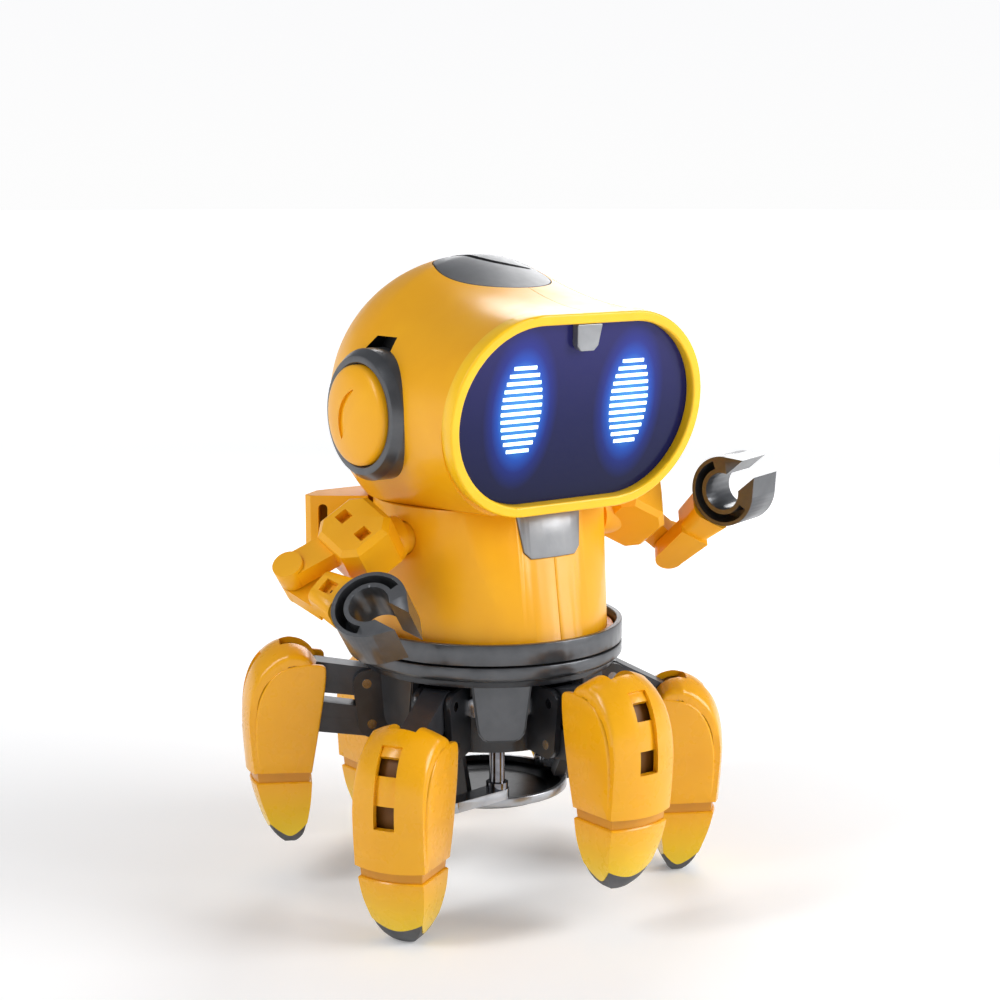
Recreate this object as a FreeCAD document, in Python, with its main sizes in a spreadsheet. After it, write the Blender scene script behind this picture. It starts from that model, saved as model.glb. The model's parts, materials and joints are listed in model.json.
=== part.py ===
import FreeCAD, Part
import math
import os

import Sketcher

Vec = FreeCAD.Vector
Rot = FreeCAD.Rotation
Place = FreeCAD.Placement
X_AXIS = Vec(1, 0, 0)
Y_AXIS = Vec(0, 1, 0)
Z_AXIS = Vec(0, 0, 1)

# Driving dimensions in millimetres, angles in degrees.  Z is up, the robot faces -Y, the floor is
# Z = 0 and the Z axis is the swivel axis of the body.
SIZES = [
    # turntable collar between the legs and the body
    ("collar_radius", 42.2), ("collar_foot_radius", 40.8), ("collar_low", 74.0),
    ("collar_seam", 78.6), ("seam_gap", 0.6), ("ring_top", 85.6), ("ring_wall", 1.7),
    ("ring_floor", 1.6), ("spigot_radius", 11.8), ("spigot_play", 0.3), ("spigot_low", 69.0),
    # hub that carries the six legs
    ("hub_core_radius", 29.0), ("hub_core_wall", 2.5), ("hub_low", 49.0), ("hub_plate", 2.0),
    ("hub_plate_radius", 39.5), ("skirt_distance", 33.0), ("skirt_thick", 2.2),
    ("skirt_top_width", 18.5), ("skirt_low_width", 13.0), ("skirt_low", 54.0),
    ("ear_gap", 8.8), ("ear_thick", 2.0), ("ear_eye", 4.3),
    # leg linkage: two equal parallel links to each leg
    ("link_length", 24.0), ("link_width", 8.0), ("link_eye", 4.6), ("link_end", 5.0),
    ("upper_pivot_reach", 39.0), ("upper_pivot_height", 66.0),
    ("lower_pivot_reach", 37.5), ("lower_pivot_height", 53.0),
    ("raised_angle", 8.0), ("lowered_angle", -28.0),
    ("pin_radius", 1.5), ("pin_play", 0.05), ("open_pivot_play", 0.6), ("pin_length", 12.8),
    # leg shell, given for a lowered leg
    ("leg_half_width", 11.9), ("leg_wall", 2.0), ("leg_low", 24.7), ("leg_top", 65.5),
    ("leg_cheek_wall", 1.9), ("neck_low", 21.7), ("neck_inset", 1.0),
    ("slot_past_pivot", 2.5), ("leg_crown_radius", 16.0), ("leg_outer", 75.7), ("channel_width", 6.6),
    ("channel_depth", 1.4), ("window_height", 6.0), ("window_low", 38.0), ("window_top", 59.5),
    ("toe_top", 5.0), ("toe_inset", 0.6),
    # dish under the hub with its arms and guide posts
    ("dish_radius", 25.0), ("dish_rim", 33.0), ("dish_low", 28.0), ("dish_wall", 1.6),
    ("post_orbit", 23.0), ("post_radius", 2.4), ("post_top", 57.0), ("arm_top", 36.2),
    ("arm_eye", 3.7), ("arm_end_orbit", 38.0), ("strut_width", 7.0),
    # gait drive inside the hub
    ("gear_module", 0.8), ("gear_teeth", 36), ("pinion_teeth", 10), ("gear_width", 4.0),
    ("gear_low", 61.0), ("drive_angle", 180.0), ("motor_radius", 6.4), ("motor_length", 13.0),
    ("shaft_radius", 1.0),
    # body shells
    ("flange_radius", 39.6), ("flange_thick", 2.2), ("torso_low_radius", 37.4),
    ("torso_top_radius", 36.0), ("torso_top", 124.8), ("torso_wall", 1.8),
    ("front_radius", 53.0), ("front_centre", 16.8), ("front_foot", 86.0), ("front_tilt", 8.5),
    ("face_tilt", 9.5),
    ("chin_top_width", 24.0), ("chin_low_width", 20.0), ("chin_top", 122.8), ("chin_low", 109.5),
    ("chin_thick", 1.2), ("shoulder_bore", 5.0), ("shoulder_depth", -5.0),
    ("shoulder_height", 115.0),
    # shoulder yoke on the back
    ("yoke_half_width", 45.0), ("yoke_low", 106.0), ("yoke_top", 124.0), ("yoke_back", 41.0),
    ("yoke_wall", 1.8), ("switch_travel", 3.0),
    # battery and control board in the body
    ("cell_radius", 5.25), ("cell_length", 44.5), ("cell_pitch", 11.0), ("cell_play", 0.1),
    ("tray_floor", 1.6), ("tray_wall", 1.2), ("tray_depth", 12.5),
    ("board_width", 40.0), ("board_thick", 1.6), ("board_height", 30.0), ("board_y", -8.0),
    # head
    ("head_half_width", 46.0), ("head_half_height", 45.0), ("head_back", 47.4),
    ("head_centre_y", 5.0), ("head_centre_z", 154.0), ("head_low", 125.0), ("head_wall", 2.0),
    ("face_half_width", 46.9), ("face_half_height", 30.2), ("face_y", -46.1),
    ("bezel_depth", 4.6), ("bezel_rim", 3.2), ("screen_recess", 3.2), ("screen_thick", 1.4),
    ("eye_spacing", 40.4), ("eye_height", 1.9), ("eye_bar_width", 14.4), ("eye_pitch", 2.25),
    ("eye_oval_half", 14.9), ("bar_height", 1.0), ("bar_depth", 0.3),
    ("ear_radius", 19.7), ("ear_y", -2.5), ("ear_z", 153.0), ("ear_reach", 49.5),
    ("ear_dome_radius", 15.0), ("ear_dome_reach", 53.0),
    ("button_radius", 18.0), ("button_y", -2.0), ("button_travel", 1.5), ("button_play", 0.4),
    # arms
    ("arm_block_x", 52.0), ("arm_block_y", -7.0), ("arm_block_z", 116.0),
    ("block_length", 19.0), ("block_width", 20.0), ("block_height", 17.0), ("block_chamfer", 4.0),
    ("elbow_out", 21.5), ("elbow_back", -6.0), ("elbow_radius", 4.6), ("bar_width", 9.0),
    ("elbow_top", 6.0), ("elbow_split", -1.0), ("elbow_gap", 0.4), ("elbow_low", -7.5),
    ("forearm_length", 21.2), ("forearm_end_width", 14.0), ("forearm_thick", 10.0),
    ("hand_reach", 33.0), ("hand_radius", 11.3), ("hand_hole", 6.0), ("hand_depth", 14.0),
    ("hand_gap", 6.6), ("hand_tip", 13.4), ("hand_ring_wall", 1.5), ("hand_shell_wall", 1.2),
    ("hand_pocket", 10.0), ("wrist_radius", 2.5),
]

EYE_BARS = 12
LEGS = [("a", 150.0, True), ("b", -150.0, False), ("c", -90.0, True),
        ("d", -30.0, False), ("e", 30.0, True), ("f", 90.0, False)]

doc = FreeCAD.newDocument("six_legged_robot")
sheet = doc.addObject("Spreadsheet::Sheet", "sizes")
for row, (alias, value) in enumerate(SIZES, start=1):
    sheet.set("A%d" % row, alias)
    sheet.set("B%d" % row, str(value))
    sheet.setAlias("B%d" % row, alias)
doc.recompute()

pieces = []


def size(alias):
    return float(sheet.get(alias))


# ---- small builders ------------------------------------------------------------------------

def keep(feature, placement=None):
    """Register a finished sub-part; its label is the name of its node."""
    if placement is not None:
        feature.Placement = placement
    pieces.append(feature)
    return feature


def new_body(label):
    body = doc.addObject("PartDesign::Body", label)
    body.Label = label
    return body


def origin_plane(body, role):
    for feature in body.Origin.OriginFeatures:
        if feature.Role == role:
            return feature
    raise ValueError("no origin plane " + role)


def add_sketch(body, role, curves, lift=0.0):
    """A sketch on one of the body's own origin planes, lifted along that plane's normal."""
    sketch = body.newObject("Sketcher::SketchObject", body.Name + "_sketch")
    sketch.AttachmentSupport = (origin_plane(body, role), "")
    sketch.MapMode = "FlatFace"
    sketch.AttachmentOffset = Place(Vec(0, 0, lift), Rot())
    sketch.addGeometry(curves, False)
    return sketch


def add_circles(body, role, circles, lift=0.0):
    """A sketch of circles, each a centre and an expression for its radius."""
    curves = [Part.Circle(Vec(x, y, 0), Z_AXIS, 1.0) for x, y, _ in circles]
    sketch = add_sketch(body, role, curves, lift)
    for index, (x, y, expression) in enumerate(circles):
        number = sketch.addConstraint(Sketcher.Constraint("Radius", index, 1.0))
        sketch.setExpression("Constraints[%d]" % number, expression)
    return sketch


def loop(points):
    """Straight segments through the points, closed."""
    ends = points[1:] + points[:1]
    return [Part.LineSegment(Vec(a[0], a[1], 0), Vec(b[0], b[1], 0)) for a, b in zip(points, ends)]


def pad(body, sketch, length, both=False, downward=False):
    feature = body.newObject("PartDesign::Pad", body.Name + "_pad")
    feature.Profile = sketch
    feature.setExpression("Length", length)
    feature.Midplane = both
    feature.Reversed = downward
    return feature


def pocket(body, sketch, length, both=False, downward=False):
    feature = body.newObject("PartDesign::Pocket", body.Name + "_pocket")
    feature.Profile = sketch
    feature.setExpression("Length", length)
    feature.Midplane = both
    feature.Reversed = downward
    return feature


def turned(label, points):
    """A body of revolution about Z from (radius, height) corners."""
    body = new_body(label)
    sketch = add_sketch(body, "XZ_Plane", loop(points))
    feature = body.newObject("PartDesign::Revolution", label + "_turn")
    feature.Profile = sketch
    feature.ReferenceAxis = (sketch, ["V_Axis"])
    feature.Angle = 360
    return body


def shaped(label, shape, placement=None):
    """A free-form or grouped piece whose shape is made with Part's own functions."""
    feature = doc.addObject("Part::Feature", label)
    feature.Label = label
    feature.Shape = shape
    return keep(feature, placement)


def group(label, shapes):
    return shaped(label, Part.makeCompound(shapes))


def box(low, high):
    return Part.makeBox(high[0] - low[0], high[1] - low[1], high[2] - low[2], Vec(*low))


def rod(radius, start, end):
    direction = Vec(*end) - Vec(*start)
    return Part.makeCylinder(radius, direction.Length, Vec(*start), direction)


def prism(points, direction, offset):
    """Extrude a closed flat outline of 3D points along a direction, starting at an offset."""
    wire = Part.makePolygon([Vec(*point) + offset for point in points + points[:1]])
    return Part.Face(wire).extrude(direction)


def round_edges(solid, radius, chosen):
    """Fillet the edges that the test picks, and leave the solid alone if none is picked."""
    edges = [edge for edge in solid.Edges if chosen(edge)]
    return solid.makeFillet(radius, edges) if edges else solid


def about_z(angle):
    return Place(Vec(0, 0, 0), Rot(Z_AXIS, angle))


def curve_wire(points):
    """A smooth open curve through the points, closed with a straight segment."""
    spline = Part.BSplineCurve()
    spline.interpolate([Vec(*point) for point in points])
    first, last = Vec(*points[0]), Vec(*points[-1])
    return Part.Wire([spline.toShape(), Part.LineSegment(last, first).toShape()])


# ---- turntable and hub ---------------------------------------------------------------------

def build_collar():
    low, seam = size("collar_low"), size("collar_seam")
    foot, rim = size("collar_foot_radius"), size("collar_radius")
    keep(turned("base_collar", [
        (size("spigot_radius") + 4, low), (foot, low), (rim, low + 1.2), (rim, seam),
        (size("spigot_radius") + 4, seam)]))


def build_turntable_ring():
    low = size("collar_seam") + size("seam_gap")
    floor_top = low + size("ring_floor")
    rim, top = size("collar_radius"), size("ring_top")
    inside, spigot = rim - size("ring_wall"), size("spigot_radius")
    keep(turned("turntable_ring", [
        (spigot - 2.5, size("spigot_low")), (spigot, size("spigot_low")), (spigot, low),
        (rim, low), (rim, top), (inside, top), (inside, floor_top), (spigot - 2.5, floor_top)]))


def hub_ears(pivots):
    """The two ears of one leg bay, in the frame of a leg that points along +X."""
    eye, gap, thick = size("ear_eye"), size("ear_gap"), size("ear_thick")
    root = size("hub_core_radius") - 1.0
    ears = []
    for side in (-1, 1):
        start = side * gap / 2 if side > 0 else -gap / 2 - thick
        (ux, uz), (lx, lz) = pivots
        outline = [(root, start, lz - eye + 1), (lx, start, lz - eye), (lx + eye, start, lz),
                   (ux + eye, start, uz), (ux, start, uz + eye), (root, start, uz + eye)]
        ear = prism(outline, Vec(0, thick, 0), Vec(0, 0, 0))
        for x, z in pivots:
            ear = ear.fuse(rod(eye, (x, start, z), (x, start + thick, z)))
            ear = ear.cut(rod(size("pin_radius"), (x, start - 1, z), (x, start + thick + 1, z)))
        ears.append(ear)
    return ears


def hub_skirt():
    """One tapered skirt panel with its two side ribs, facing along +X."""
    distance, thick = size("skirt_distance"), size("skirt_thick")
    top, low = size("collar_low") - size("hub_plate"), size("skirt_low")
    half_top, half_low = size("skirt_top_width") / 2, size("skirt_low_width") / 2
    outline = [(distance, -half_top, top), (distance, -half_low - 0.6, low + 3),
               (distance, -half_low + 2.4, low), (distance, half_low - 2.4, low),
               (distance, half_low + 0.6, low + 3), (distance, half_top, top)]
    panel = prism(outline, Vec(thick, 0, 0), Vec(0, 0, 0))
    for side in (-1, 1):
        y = side * (half_low - 2)
        rib = box((size("hub_core_radius") - 1, y - 0.8, low + 4), (distance + 0.5, y + 0.8, top))
        panel = panel.fuse(rib)
    return panel


def build_hub_frame():
    low, plate_top = size("hub_low"), size("collar_low")
    plate_low = plate_top - size("hub_plate")
    core = size("hub_core_radius")
    spigot = size("spigot_radius") + size("spigot_play")
    frame = rod(core, (0, 0, low), (0, 0, plate_low))
    frame = frame.cut(rod(core - size("hub_core_wall"), (0, 0, low - 1), (0, 0, plate_low + 1)))
    plate = rod(size("hub_plate_radius"), (0, 0, plate_low), (0, 0, plate_top))
    frame = frame.fuse(plate.cut(rod(spigot, (0, 0, low), (0, 0, plate_top + 1))))
    pivots = [(size("upper_pivot_reach"), size("upper_pivot_height")),
              (size("lower_pivot_reach"), size("lower_pivot_height"))]
    for _, angle, _ in LEGS:
        for ear in hub_ears(pivots):
            frame = frame.fuse(ear.transformGeometry(about_z(angle).toMatrix()))
        frame = frame.fuse(hub_skirt().transformGeometry(about_z(angle + 30).toMatrix()))
    shaped("hub_frame", frame.removeSplitter())


def build_hub_struts():
    """Three struts that carry the dish, from its rim to the underside of the hub's ring."""
    half, core, low = size("strut_width") / 2, size("hub_core_radius"), size("hub_low")
    rim, radius, wall = size("dish_rim"), size("dish_radius"), size("dish_wall")
    struts = []
    for _, angle, raised in LEGS:
        if not raised:
            outline = [(radius - wall - 2.9, -half, rim), (radius - 1.0, -half, rim),
                       (core - 0.5, -half, low), (core - size("hub_core_wall"), -half, low)]
            strut = prism(outline, Vec(0, 2 * half, 0), Vec(0, 0, 0))
            strut.Placement = about_z(angle)
            struts.append(strut)
    group("hub_struts", struts)


def build_hub_pins():
    """The twelve inner pivot pins, fixed in the hub's ears."""
    half = size("pin_length") / 2
    pins = []
    for _, angle, _ in LEGS:
        for level in ("upper", "lower"):
            x, z = size(level + "_pivot_reach"), size(level + "_pivot_height")
            pin = rod(size("pin_radius"), (x, -half, z), (x, half, z))
            pin.Placement = about_z(angle)
            pins.append(pin)
    group("hub_pins", pins)


def build_dish():
    rim, low, wall = size("dish_rim"), size("dish_low"), size("dish_wall")
    radius = size("dish_radius")
    keep(turned("lower_dish", [
        (0, low), (radius - 6, low), (radius - 3.2, low + 1.4), (radius, low + 2.4), (radius, rim),
        (radius - wall, rim), (radius - wall, low + 3), (radius - 6, low + wall), (0, low + wall)]))


def build_dish_arms():
    """Three flat arms that lie on the dish's rim; each ends beside a leg that stands."""
    low, top, eye = size("dish_rim"), size("arm_top"), size("arm_eye")
    arms = []
    for _, angle, raised in LEGS:
        if raised:
            continue
        start = about_z(angle + 30).multVec(Vec(size("post_orbit"), 0, 0))
        end = about_z(angle + 7).multVec(Vec(size("arm_end_orbit"), 0, 0))
        along = (end - start).normalize()
        across = along.cross(Z_AXIS)
        corners = [start + across * eye, end + across * (eye - 1), end - across * (eye - 1),
                   start - across * eye]
        arm = prism([(c.x, c.y, low) for c in corners], Vec(0, 0, top - low), Vec(0, 0, 0))
        arm = arm.fuse(rod(eye, (start.x, start.y, low), (start.x, start.y, top)))
        arm = arm.fuse(rod(eye - 1, (end.x, end.y, low), (end.x, end.y, top)))
        arms.append(arm.removeSplitter())
    group("dish_arms", arms)


def build_guide_posts():
    """Three round-nosed guide posts, each with a small collar at its foot."""
    radius, low, top = size("post_radius"), size("arm_top"), size("post_top")
    posts = []
    nose = 3 * radius
    for _, angle, raised in LEGS:
        if raised:
            continue
        post = rod(radius, (0, 0, low), (0, 0, top - nose))
        post = post.fuse(rod(radius + 1, (0, 0, low), (0, 0, low + 2)))
        arc = Part.Arc(Vec(radius, 0, 0), Vec(radius * 0.72, 0, nose * 0.62), Vec(0, 0, nose))
        flat = Part.Wire([arc.toShape(), Part.LineSegment(Vec(0, 0, nose), Vec(0, 0, 0)).toShape(),
                          Part.LineSegment(Vec(0, 0, 0), Vec(radius, 0, 0)).toShape()])
        tip = Part.Face(flat).revolve(Vec(0, 0, 0), Z_AXIS, 360)
        tip.translate(Vec(0, 0, top - nose))
        post = post.fuse(tip)
        post.translate(about_z(angle + 30).multVec(Vec(size("post_orbit"), 0, 0)))
        posts.append(post)
    group("guide_posts", posts)


# ---- gait drive ----------------------------------------------------------------------------

def gear_outline(teeth, module, phase):
    """A spur gear outline with straight flanks; each tooth is narrower than its gap."""
    pitch = teeth * module / 2
    tip, root = pitch + 0.9 * module, pitch - 1.15 * module
    step = 2 * math.pi / teeth
    points = []
    for tooth in range(teeth):
        middle = phase + tooth * step
        for share, radius in ((-0.31, root), (-0.10, tip), (0.10, tip), (0.31, root)):
            angle = middle + share * step
            points.append((radius * math.cos(angle), radius * math.sin(angle)))
    return points


def gear_distance():
    return size("gear_module") * (size("gear_teeth") + size("pinion_teeth")) / 2


def build_drive():
    module, low = size("gear_module"), size("gear_low")
    distance = gear_distance()
    plate_low = low - 1.5
    motor_top = plate_low - 2.0
    turned_place = about_z(size("drive_angle"))

    plate = new_body("motor_plate")
    pad(plate, add_circles(plate, "XY_Plane", [
        (0, 0, "sizes.hub_core_radius - sizes.hub_core_wall"), (0, 0, "sizes.pin_radius"),
        (distance, 0, "sizes.shaft_radius + 0.4")], plate_low - 2.0), "2.0")
    keep(plate, turned_place)

    motor = rod(size("motor_radius"), (distance, 0, motor_top - size("motor_length")),
                (distance, 0, motor_top))
    shaped("gait_motor", round_edges(motor, 0.8, lambda edge: edge.Length > 20), turned_place)

    pinion = new_body("motor_pinion")
    teeth = int(size("pinion_teeth"))
    half_step = math.pi / teeth
    outline = gear_outline(teeth, module, math.pi + half_step)
    pad(pinion, add_sketch(pinion, "XY_Plane", loop(outline)), "sizes.gear_width + 1")
    pad(pinion, add_circles(pinion, "XY_Plane", [(0, 0, "sizes.shaft_radius")]), "3.0",
        downward=True)
    keep(pinion, turned_place.multiply(Place(Vec(distance, 0, low - 0.5), Rot())))

    gear = new_body("crank_gear")
    outline = gear_outline(int(size("gear_teeth")), module, 0.0)
    pad(gear, add_sketch(gear, "XY_Plane", loop(outline)), "sizes.gear_width")
    pad(gear, add_circles(gear, "XY_Plane", [(9.0, 0, "sizes.pin_radius")], size("gear_width")),
        "2.2")
    pocket(gear, add_circles(gear, "XY_Plane", [(0, 0, "sizes.pin_radius + sizes.pin_play")],
                             -1.0), "20", downward=True)
    keep(gear, turned_place.multiply(Place(Vec(0, 0, low), Rot())))

    axle = rod(size("pin_radius"), (0, 0, plate_low - 2.0), (0, 0, low + size("gear_width") + 1))
    head = rod(size("pin_radius") + 1, (0, 0, low + size("gear_width") + 0.3),
               (0, 0, low + size("gear_width") + 1.3))
    shaped("gear_axle", axle.fuse(head))


# ---- legs ----------------------------------------------------------------------------------

def leg_side_points():
    """Outline of a lowered leg's shell in its own vertical plane, from inner foot to outer foot."""
    outer, low, top = size("leg_outer"), size("leg_low"), size("leg_top")
    return [(outer - 22.7, low), (outer - 25.4, low + 13), (outer - 28.2, low + 25.6),
            (outer - 27.4, top - 5.4), (outer - 23.8, top - 1.2), (outer - 17.6, top),
            (outer - 10.6, top - 1.6), (outer - 5.0, top - 6), (outer - 1.5, top - 12.6),
            (outer, top - 22), (outer - 0.3, top - 30), (outer - 1.1, low)]


def side_solid(points, half_width):
    face = Part.Face(curve_wire([(x, -half_width, z) for x, z in points]))
    return face.extrude(Vec(0, 2 * half_width, 0))


def front_solid(points):
    """Extrude a left-right symmetric outline, given by its (half width, height) corners, along X."""
    mirrored = [(-half, z) for half, z in reversed(points)]
    outline = [(40.0, half, z) for half, z in points + mirrored]
    return prism(outline, Vec(50, 0, 0), Vec(0, 0, 0))


def crown_solid(low, high, reach, radius, setback):
    """A tall round-fronted block that crowns the outer face of a leg."""
    cylinder = rod(radius, (reach - radius, 0, low), (reach - radius, 0, high))
    return cylinder.fuse(box((30, -radius, low), (reach - setback, radius, high)))


def leg_rounding(inset):
    """The leg's rounded cheeks, top and outer face as one tall block, set in by a distance."""
    half, low, top = size("leg_half_width") - inset, size("leg_low"), size("leg_top") - inset
    front = [(half - 0.6, low - 2), (half, low + 20), (half, top - 8.5), (half - 0.8, top - 6.0),
             (half - 2.8, top - 3.4), (half - 6.0, top - 1.2), (1.6, top)]
    crown = crown_solid(low - 2, top + 2, size("leg_outer") + 0.1 - inset,
                        size("leg_crown_radius") - inset, 3.4)
    return front_solid(front).common(crown)


def leg_shell_shape():
    half, low, top = size("leg_half_width"), size("leg_low"), size("leg_top")
    wall, cheek, outer = size("leg_wall"), size("leg_cheek_wall"), size("leg_outer")
    points = leg_side_points()
    solid = side_solid(points, half).common(leg_rounding(0.0))

    middle_x, middle_z = outer - 14.0, (low + top) / 2
    def shrunk(inset):
        scale_x = (14.0 - inset) / 14.0
        scale_z = (top - low - 2 * inset) / (top - low)
        return [(middle_x + (x - middle_x) * scale_x, middle_z + (z - middle_z) * scale_z)
                for x, z in points]

    rounding = leg_rounding(cheek)
    hollow = side_solid(shrunk(wall), half - cheek).common(rounding)
    inner_mouth = box((outer - 40, cheek - half, low + wall), (middle_x, half - cheek, top - 5.5))
    solid = solid.cut(hollow).cut(inner_mouth.common(rounding))
    slot_half = size("link_width") / 2 + 0.6
    slot_reach = leg_pivots()[0][0] + size("slot_past_pivot")
    solid = solid.cut(box((outer - 40, -slot_half, top - 12), (slot_reach, slot_half, top + 5)))

    channel_half = size("channel_width") / 2
    strip = box((middle_x, -channel_half, size("window_low")), (outer + 5, channel_half, top + 1))
    solid = solid.cut(strip.cut(side_solid(shrunk(size("channel_depth")), half)))
    for start in (size("window_low"), size("window_top") - size("window_height")):
        solid = solid.cut(box((middle_x, -channel_half, start),
                              (outer + 5, channel_half, start + size("window_height"))))
    return solid


def foot_shape(inset=0.0):
    """The block under the shell's groove, down to the floor, with its sides set in by a distance."""
    high, outer = size("neck_low"), size("leg_outer")
    back, front = outer + inset, outer - inset
    side = [(back - 22.1, high), (back - 21.0, 15), (back - 18.6, 8), (back - 15.6, 2.2),
            (back - 14.0, 0.0), (front - 10.8, 0.0), (front - 8.0, 3.0), (front - 4.4, 9.6),
            (front - 2.4, 15.6), (front - 1.5, high)]
    half = size("leg_half_width") - 0.3 - inset
    profile = [(half - 7.4, 0.0), (half - 5.4, 1.2), (half - 3.7, 3.6), (half - 2.2, 7.6),
               (half - 1.0, 12.5), (half - 0.2, high)]
    solid = prism([(x, -half, z) for x, z in side], Vec(0, 2 * half, 0), Vec(0, 0, 0))
    crown = crown_solid(-1, high + 1, front - 0.7, size("leg_crown_radius"), 3.4)
    return solid.common(front_solid(profile)).common(crown)


def leg_pivots():
    """Where the two outer pivots of a lowered leg are, as (reach, height)."""
    swing = math.radians(size("lowered_angle"))
    reach = size("link_length") * math.cos(swing)
    rise = size("link_length") * math.sin(swing)
    return [(size(level + "_pivot_reach") + reach, size(level + "_pivot_height") + rise)
            for level in ("upper", "lower")]


def leg_lift(raised):
    """How far a raised leg has moved from the lowered place, as (outward, upward)."""
    if not raised:
        return 0.0, 0.0
    high, low = math.radians(size("raised_angle")), math.radians(size("lowered_angle"))
    length = size("link_length")
    return length * (math.cos(high) - math.cos(low)), length * (math.sin(high) - math.sin(low))


def build_legs():
    half, outer = size("leg_half_width"), size("leg_outer")
    shell = leg_shell_shape()
    foot = foot_shape()
    toe_top = size("toe_top")
    neck_side = size("neck_inset")
    neck = box((outer - 21.2, neck_side - half, size("neck_low") - 0.5),
               (outer - 4.6, half - neck_side, size("leg_low") + 0.5))
    below = box((30, -20, -5), (90, 20, toe_top))
    shell = shell.fuse(neck).fuse(foot.cut(below))
    pin, wall_half = size("pin_radius"), half - size("leg_cheek_wall")
    boss_start = size("link_width") / 2 + 0.35
    plays = (size("pin_play"), size("open_pivot_play"))
    for (x, z), play in zip(leg_pivots(), plays):
        for side in (-1, 1):
            boss = rod(pin + 1.7, (x, side * boss_start, z), (x, side * (wall_half + 0.3), z))
            shell = shell.fuse(boss)
        shell = shell.cut(rod(pin + play, (x, -half + 0.9, z), (x, half - 0.9, z)))
    shell = shell.removeSplitter()

    toe = foot_shape(size("toe_inset")).common(below)

    for name, angle, raised in LEGS:
        outward, upward = leg_lift(raised)
        placement = about_z(angle).multiply(Place(Vec(outward, 0, upward), Rot()))
        shaped("leg_shell_" + name, shell, placement)
        shaped("toe_" + name, toe, placement)


def link_outline():
    """A bar with two round ends, tapering from the outer end to the inner eye."""
    length, eye, end = size("link_length"), size("link_eye"), size("link_end")
    lean = math.asin((end - eye) / length)
    sine, cosine = math.sin(lean), math.cos(lean)
    inner_top = Vec(-eye * sine, eye * cosine, 0)
    inner_low = Vec(-eye * sine, -eye * cosine, 0)
    outer_top = Vec(length - end * sine, end * cosine, 0)
    outer_low = Vec(length - end * sine, -end * cosine, 0)
    return [Part.LineSegment(inner_top, outer_top),
            Part.Arc(outer_top, Vec(length + end, 0, 0), outer_low),
            Part.LineSegment(outer_low, inner_low),
            Part.Arc(inner_low, Vec(-eye, 0, 0), inner_top)]


def build_links():
    for name, angle, raised in LEGS:
        swing = size("raised_angle") if raised else size("lowered_angle")
        for level in ("upper", "lower"):
            link = new_body(level + "_link_" + name)
            pad(link, add_sketch(link, "XZ_Plane", link_outline()), "sizes.link_width", both=True)
            pocket(link, add_circles(link, "XZ_Plane", [
                (0, 0, "sizes.pin_radius + sizes.pin_play")]), "sizes.link_width + 2", both=True)
            stub = add_circles(link, "XZ_Plane", [(size("link_length"), 0, "sizes.pin_radius")])
            pad(link, stub, "2 * (sizes.leg_half_width - 1.1)", both=True)
            pivot = Vec(size(level + "_pivot_reach"), 0, size(level + "_pivot_height"))
            swung = Place(pivot, Rot(Y_AXIS, -swing))
            keep(link, about_z(angle).multiply(swung))


# ---- body ----------------------------------------------------------------------------------

def torso_solid(inset, low, high):
    """The body's outer form set in by a distance: a tapered round drum with a flatter front."""
    foot, top = size("torso_low_radius") - inset, size("torso_top_radius") - inset
    height = size("torso_top") - size("ring_top")
    slope = (top - foot) / height
    base = size("ring_top")
    cone = Part.makeCone(foot + slope * (low - base), foot + slope * (high - base), high - low,
                         Vec(0, 0, low))
    tilt = math.radians(size("front_tilt"))
    axis = Vec(0, math.sin(tilt), math.cos(tilt))
    centre = Vec(0, size("front_centre"), size("front_foot"))
    front = Part.makeCylinder(size("front_radius") - inset, 160, centre - axis * 80, axis)
    return cone.common(front)


def build_torso():
    base = size("collar_seam") + size("seam_gap") + size("ring_floor") + 0.1
    top, wall = size("torso_top"), size("torso_wall")
    shell = torso_solid(0, base, top)
    flange = rod(size("flange_radius"), (0, 0, base), (0, 0, base + size("flange_thick")))
    shell = shell.fuse(flange).cut(torso_solid(wall, base - 1, top - wall))
    shoulder = (size("shoulder_depth"), size("shoulder_height"))
    shell = shell.cut(rod(size("shoulder_bore") + 0.3, (-60, *shoulder), (60, *shoulder)))
    shell = shell.cut(chin_solid(0.05, 0.1))
    right = shell.common(box((-80, -80, base - 5), (0, 80, top + 5)))
    left = shell.common(box((0, -80, base - 5), (80, 80, top + 5)))
    shaped("torso_shell_right", right)
    shaped("torso_shell_left", left)
    shaped("chin_plate", chin_solid(0.0, 0.0))


def chin_solid(growth, sink):
    """The trim plate under the face, wrapped on the body's flatter front."""
    high, low = size("chin_top") + growth, size("chin_low") - growth
    half_top, half_low = size("chin_top_width") / 2 + growth, size("chin_low_width") / 2 + growth
    outline = [(-half_top, -60, high), (-half_low - 0.5, -60, low + 2.2),
               (-half_low + 1.8, -60, low), (half_low - 1.8, -60, low),
               (half_low + 0.5, -60, low + 2.2), (half_top, -60, high)]
    block = prism(outline, Vec(0, 60, 0), Vec(0, 0, 0))
    thick = size("chin_thick")
    skin = torso_solid(-0.5, low - 4, high + 4).cut(torso_solid(thick - 0.5 + sink, low - 5, high + 5))
    return block.common(skin)


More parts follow.
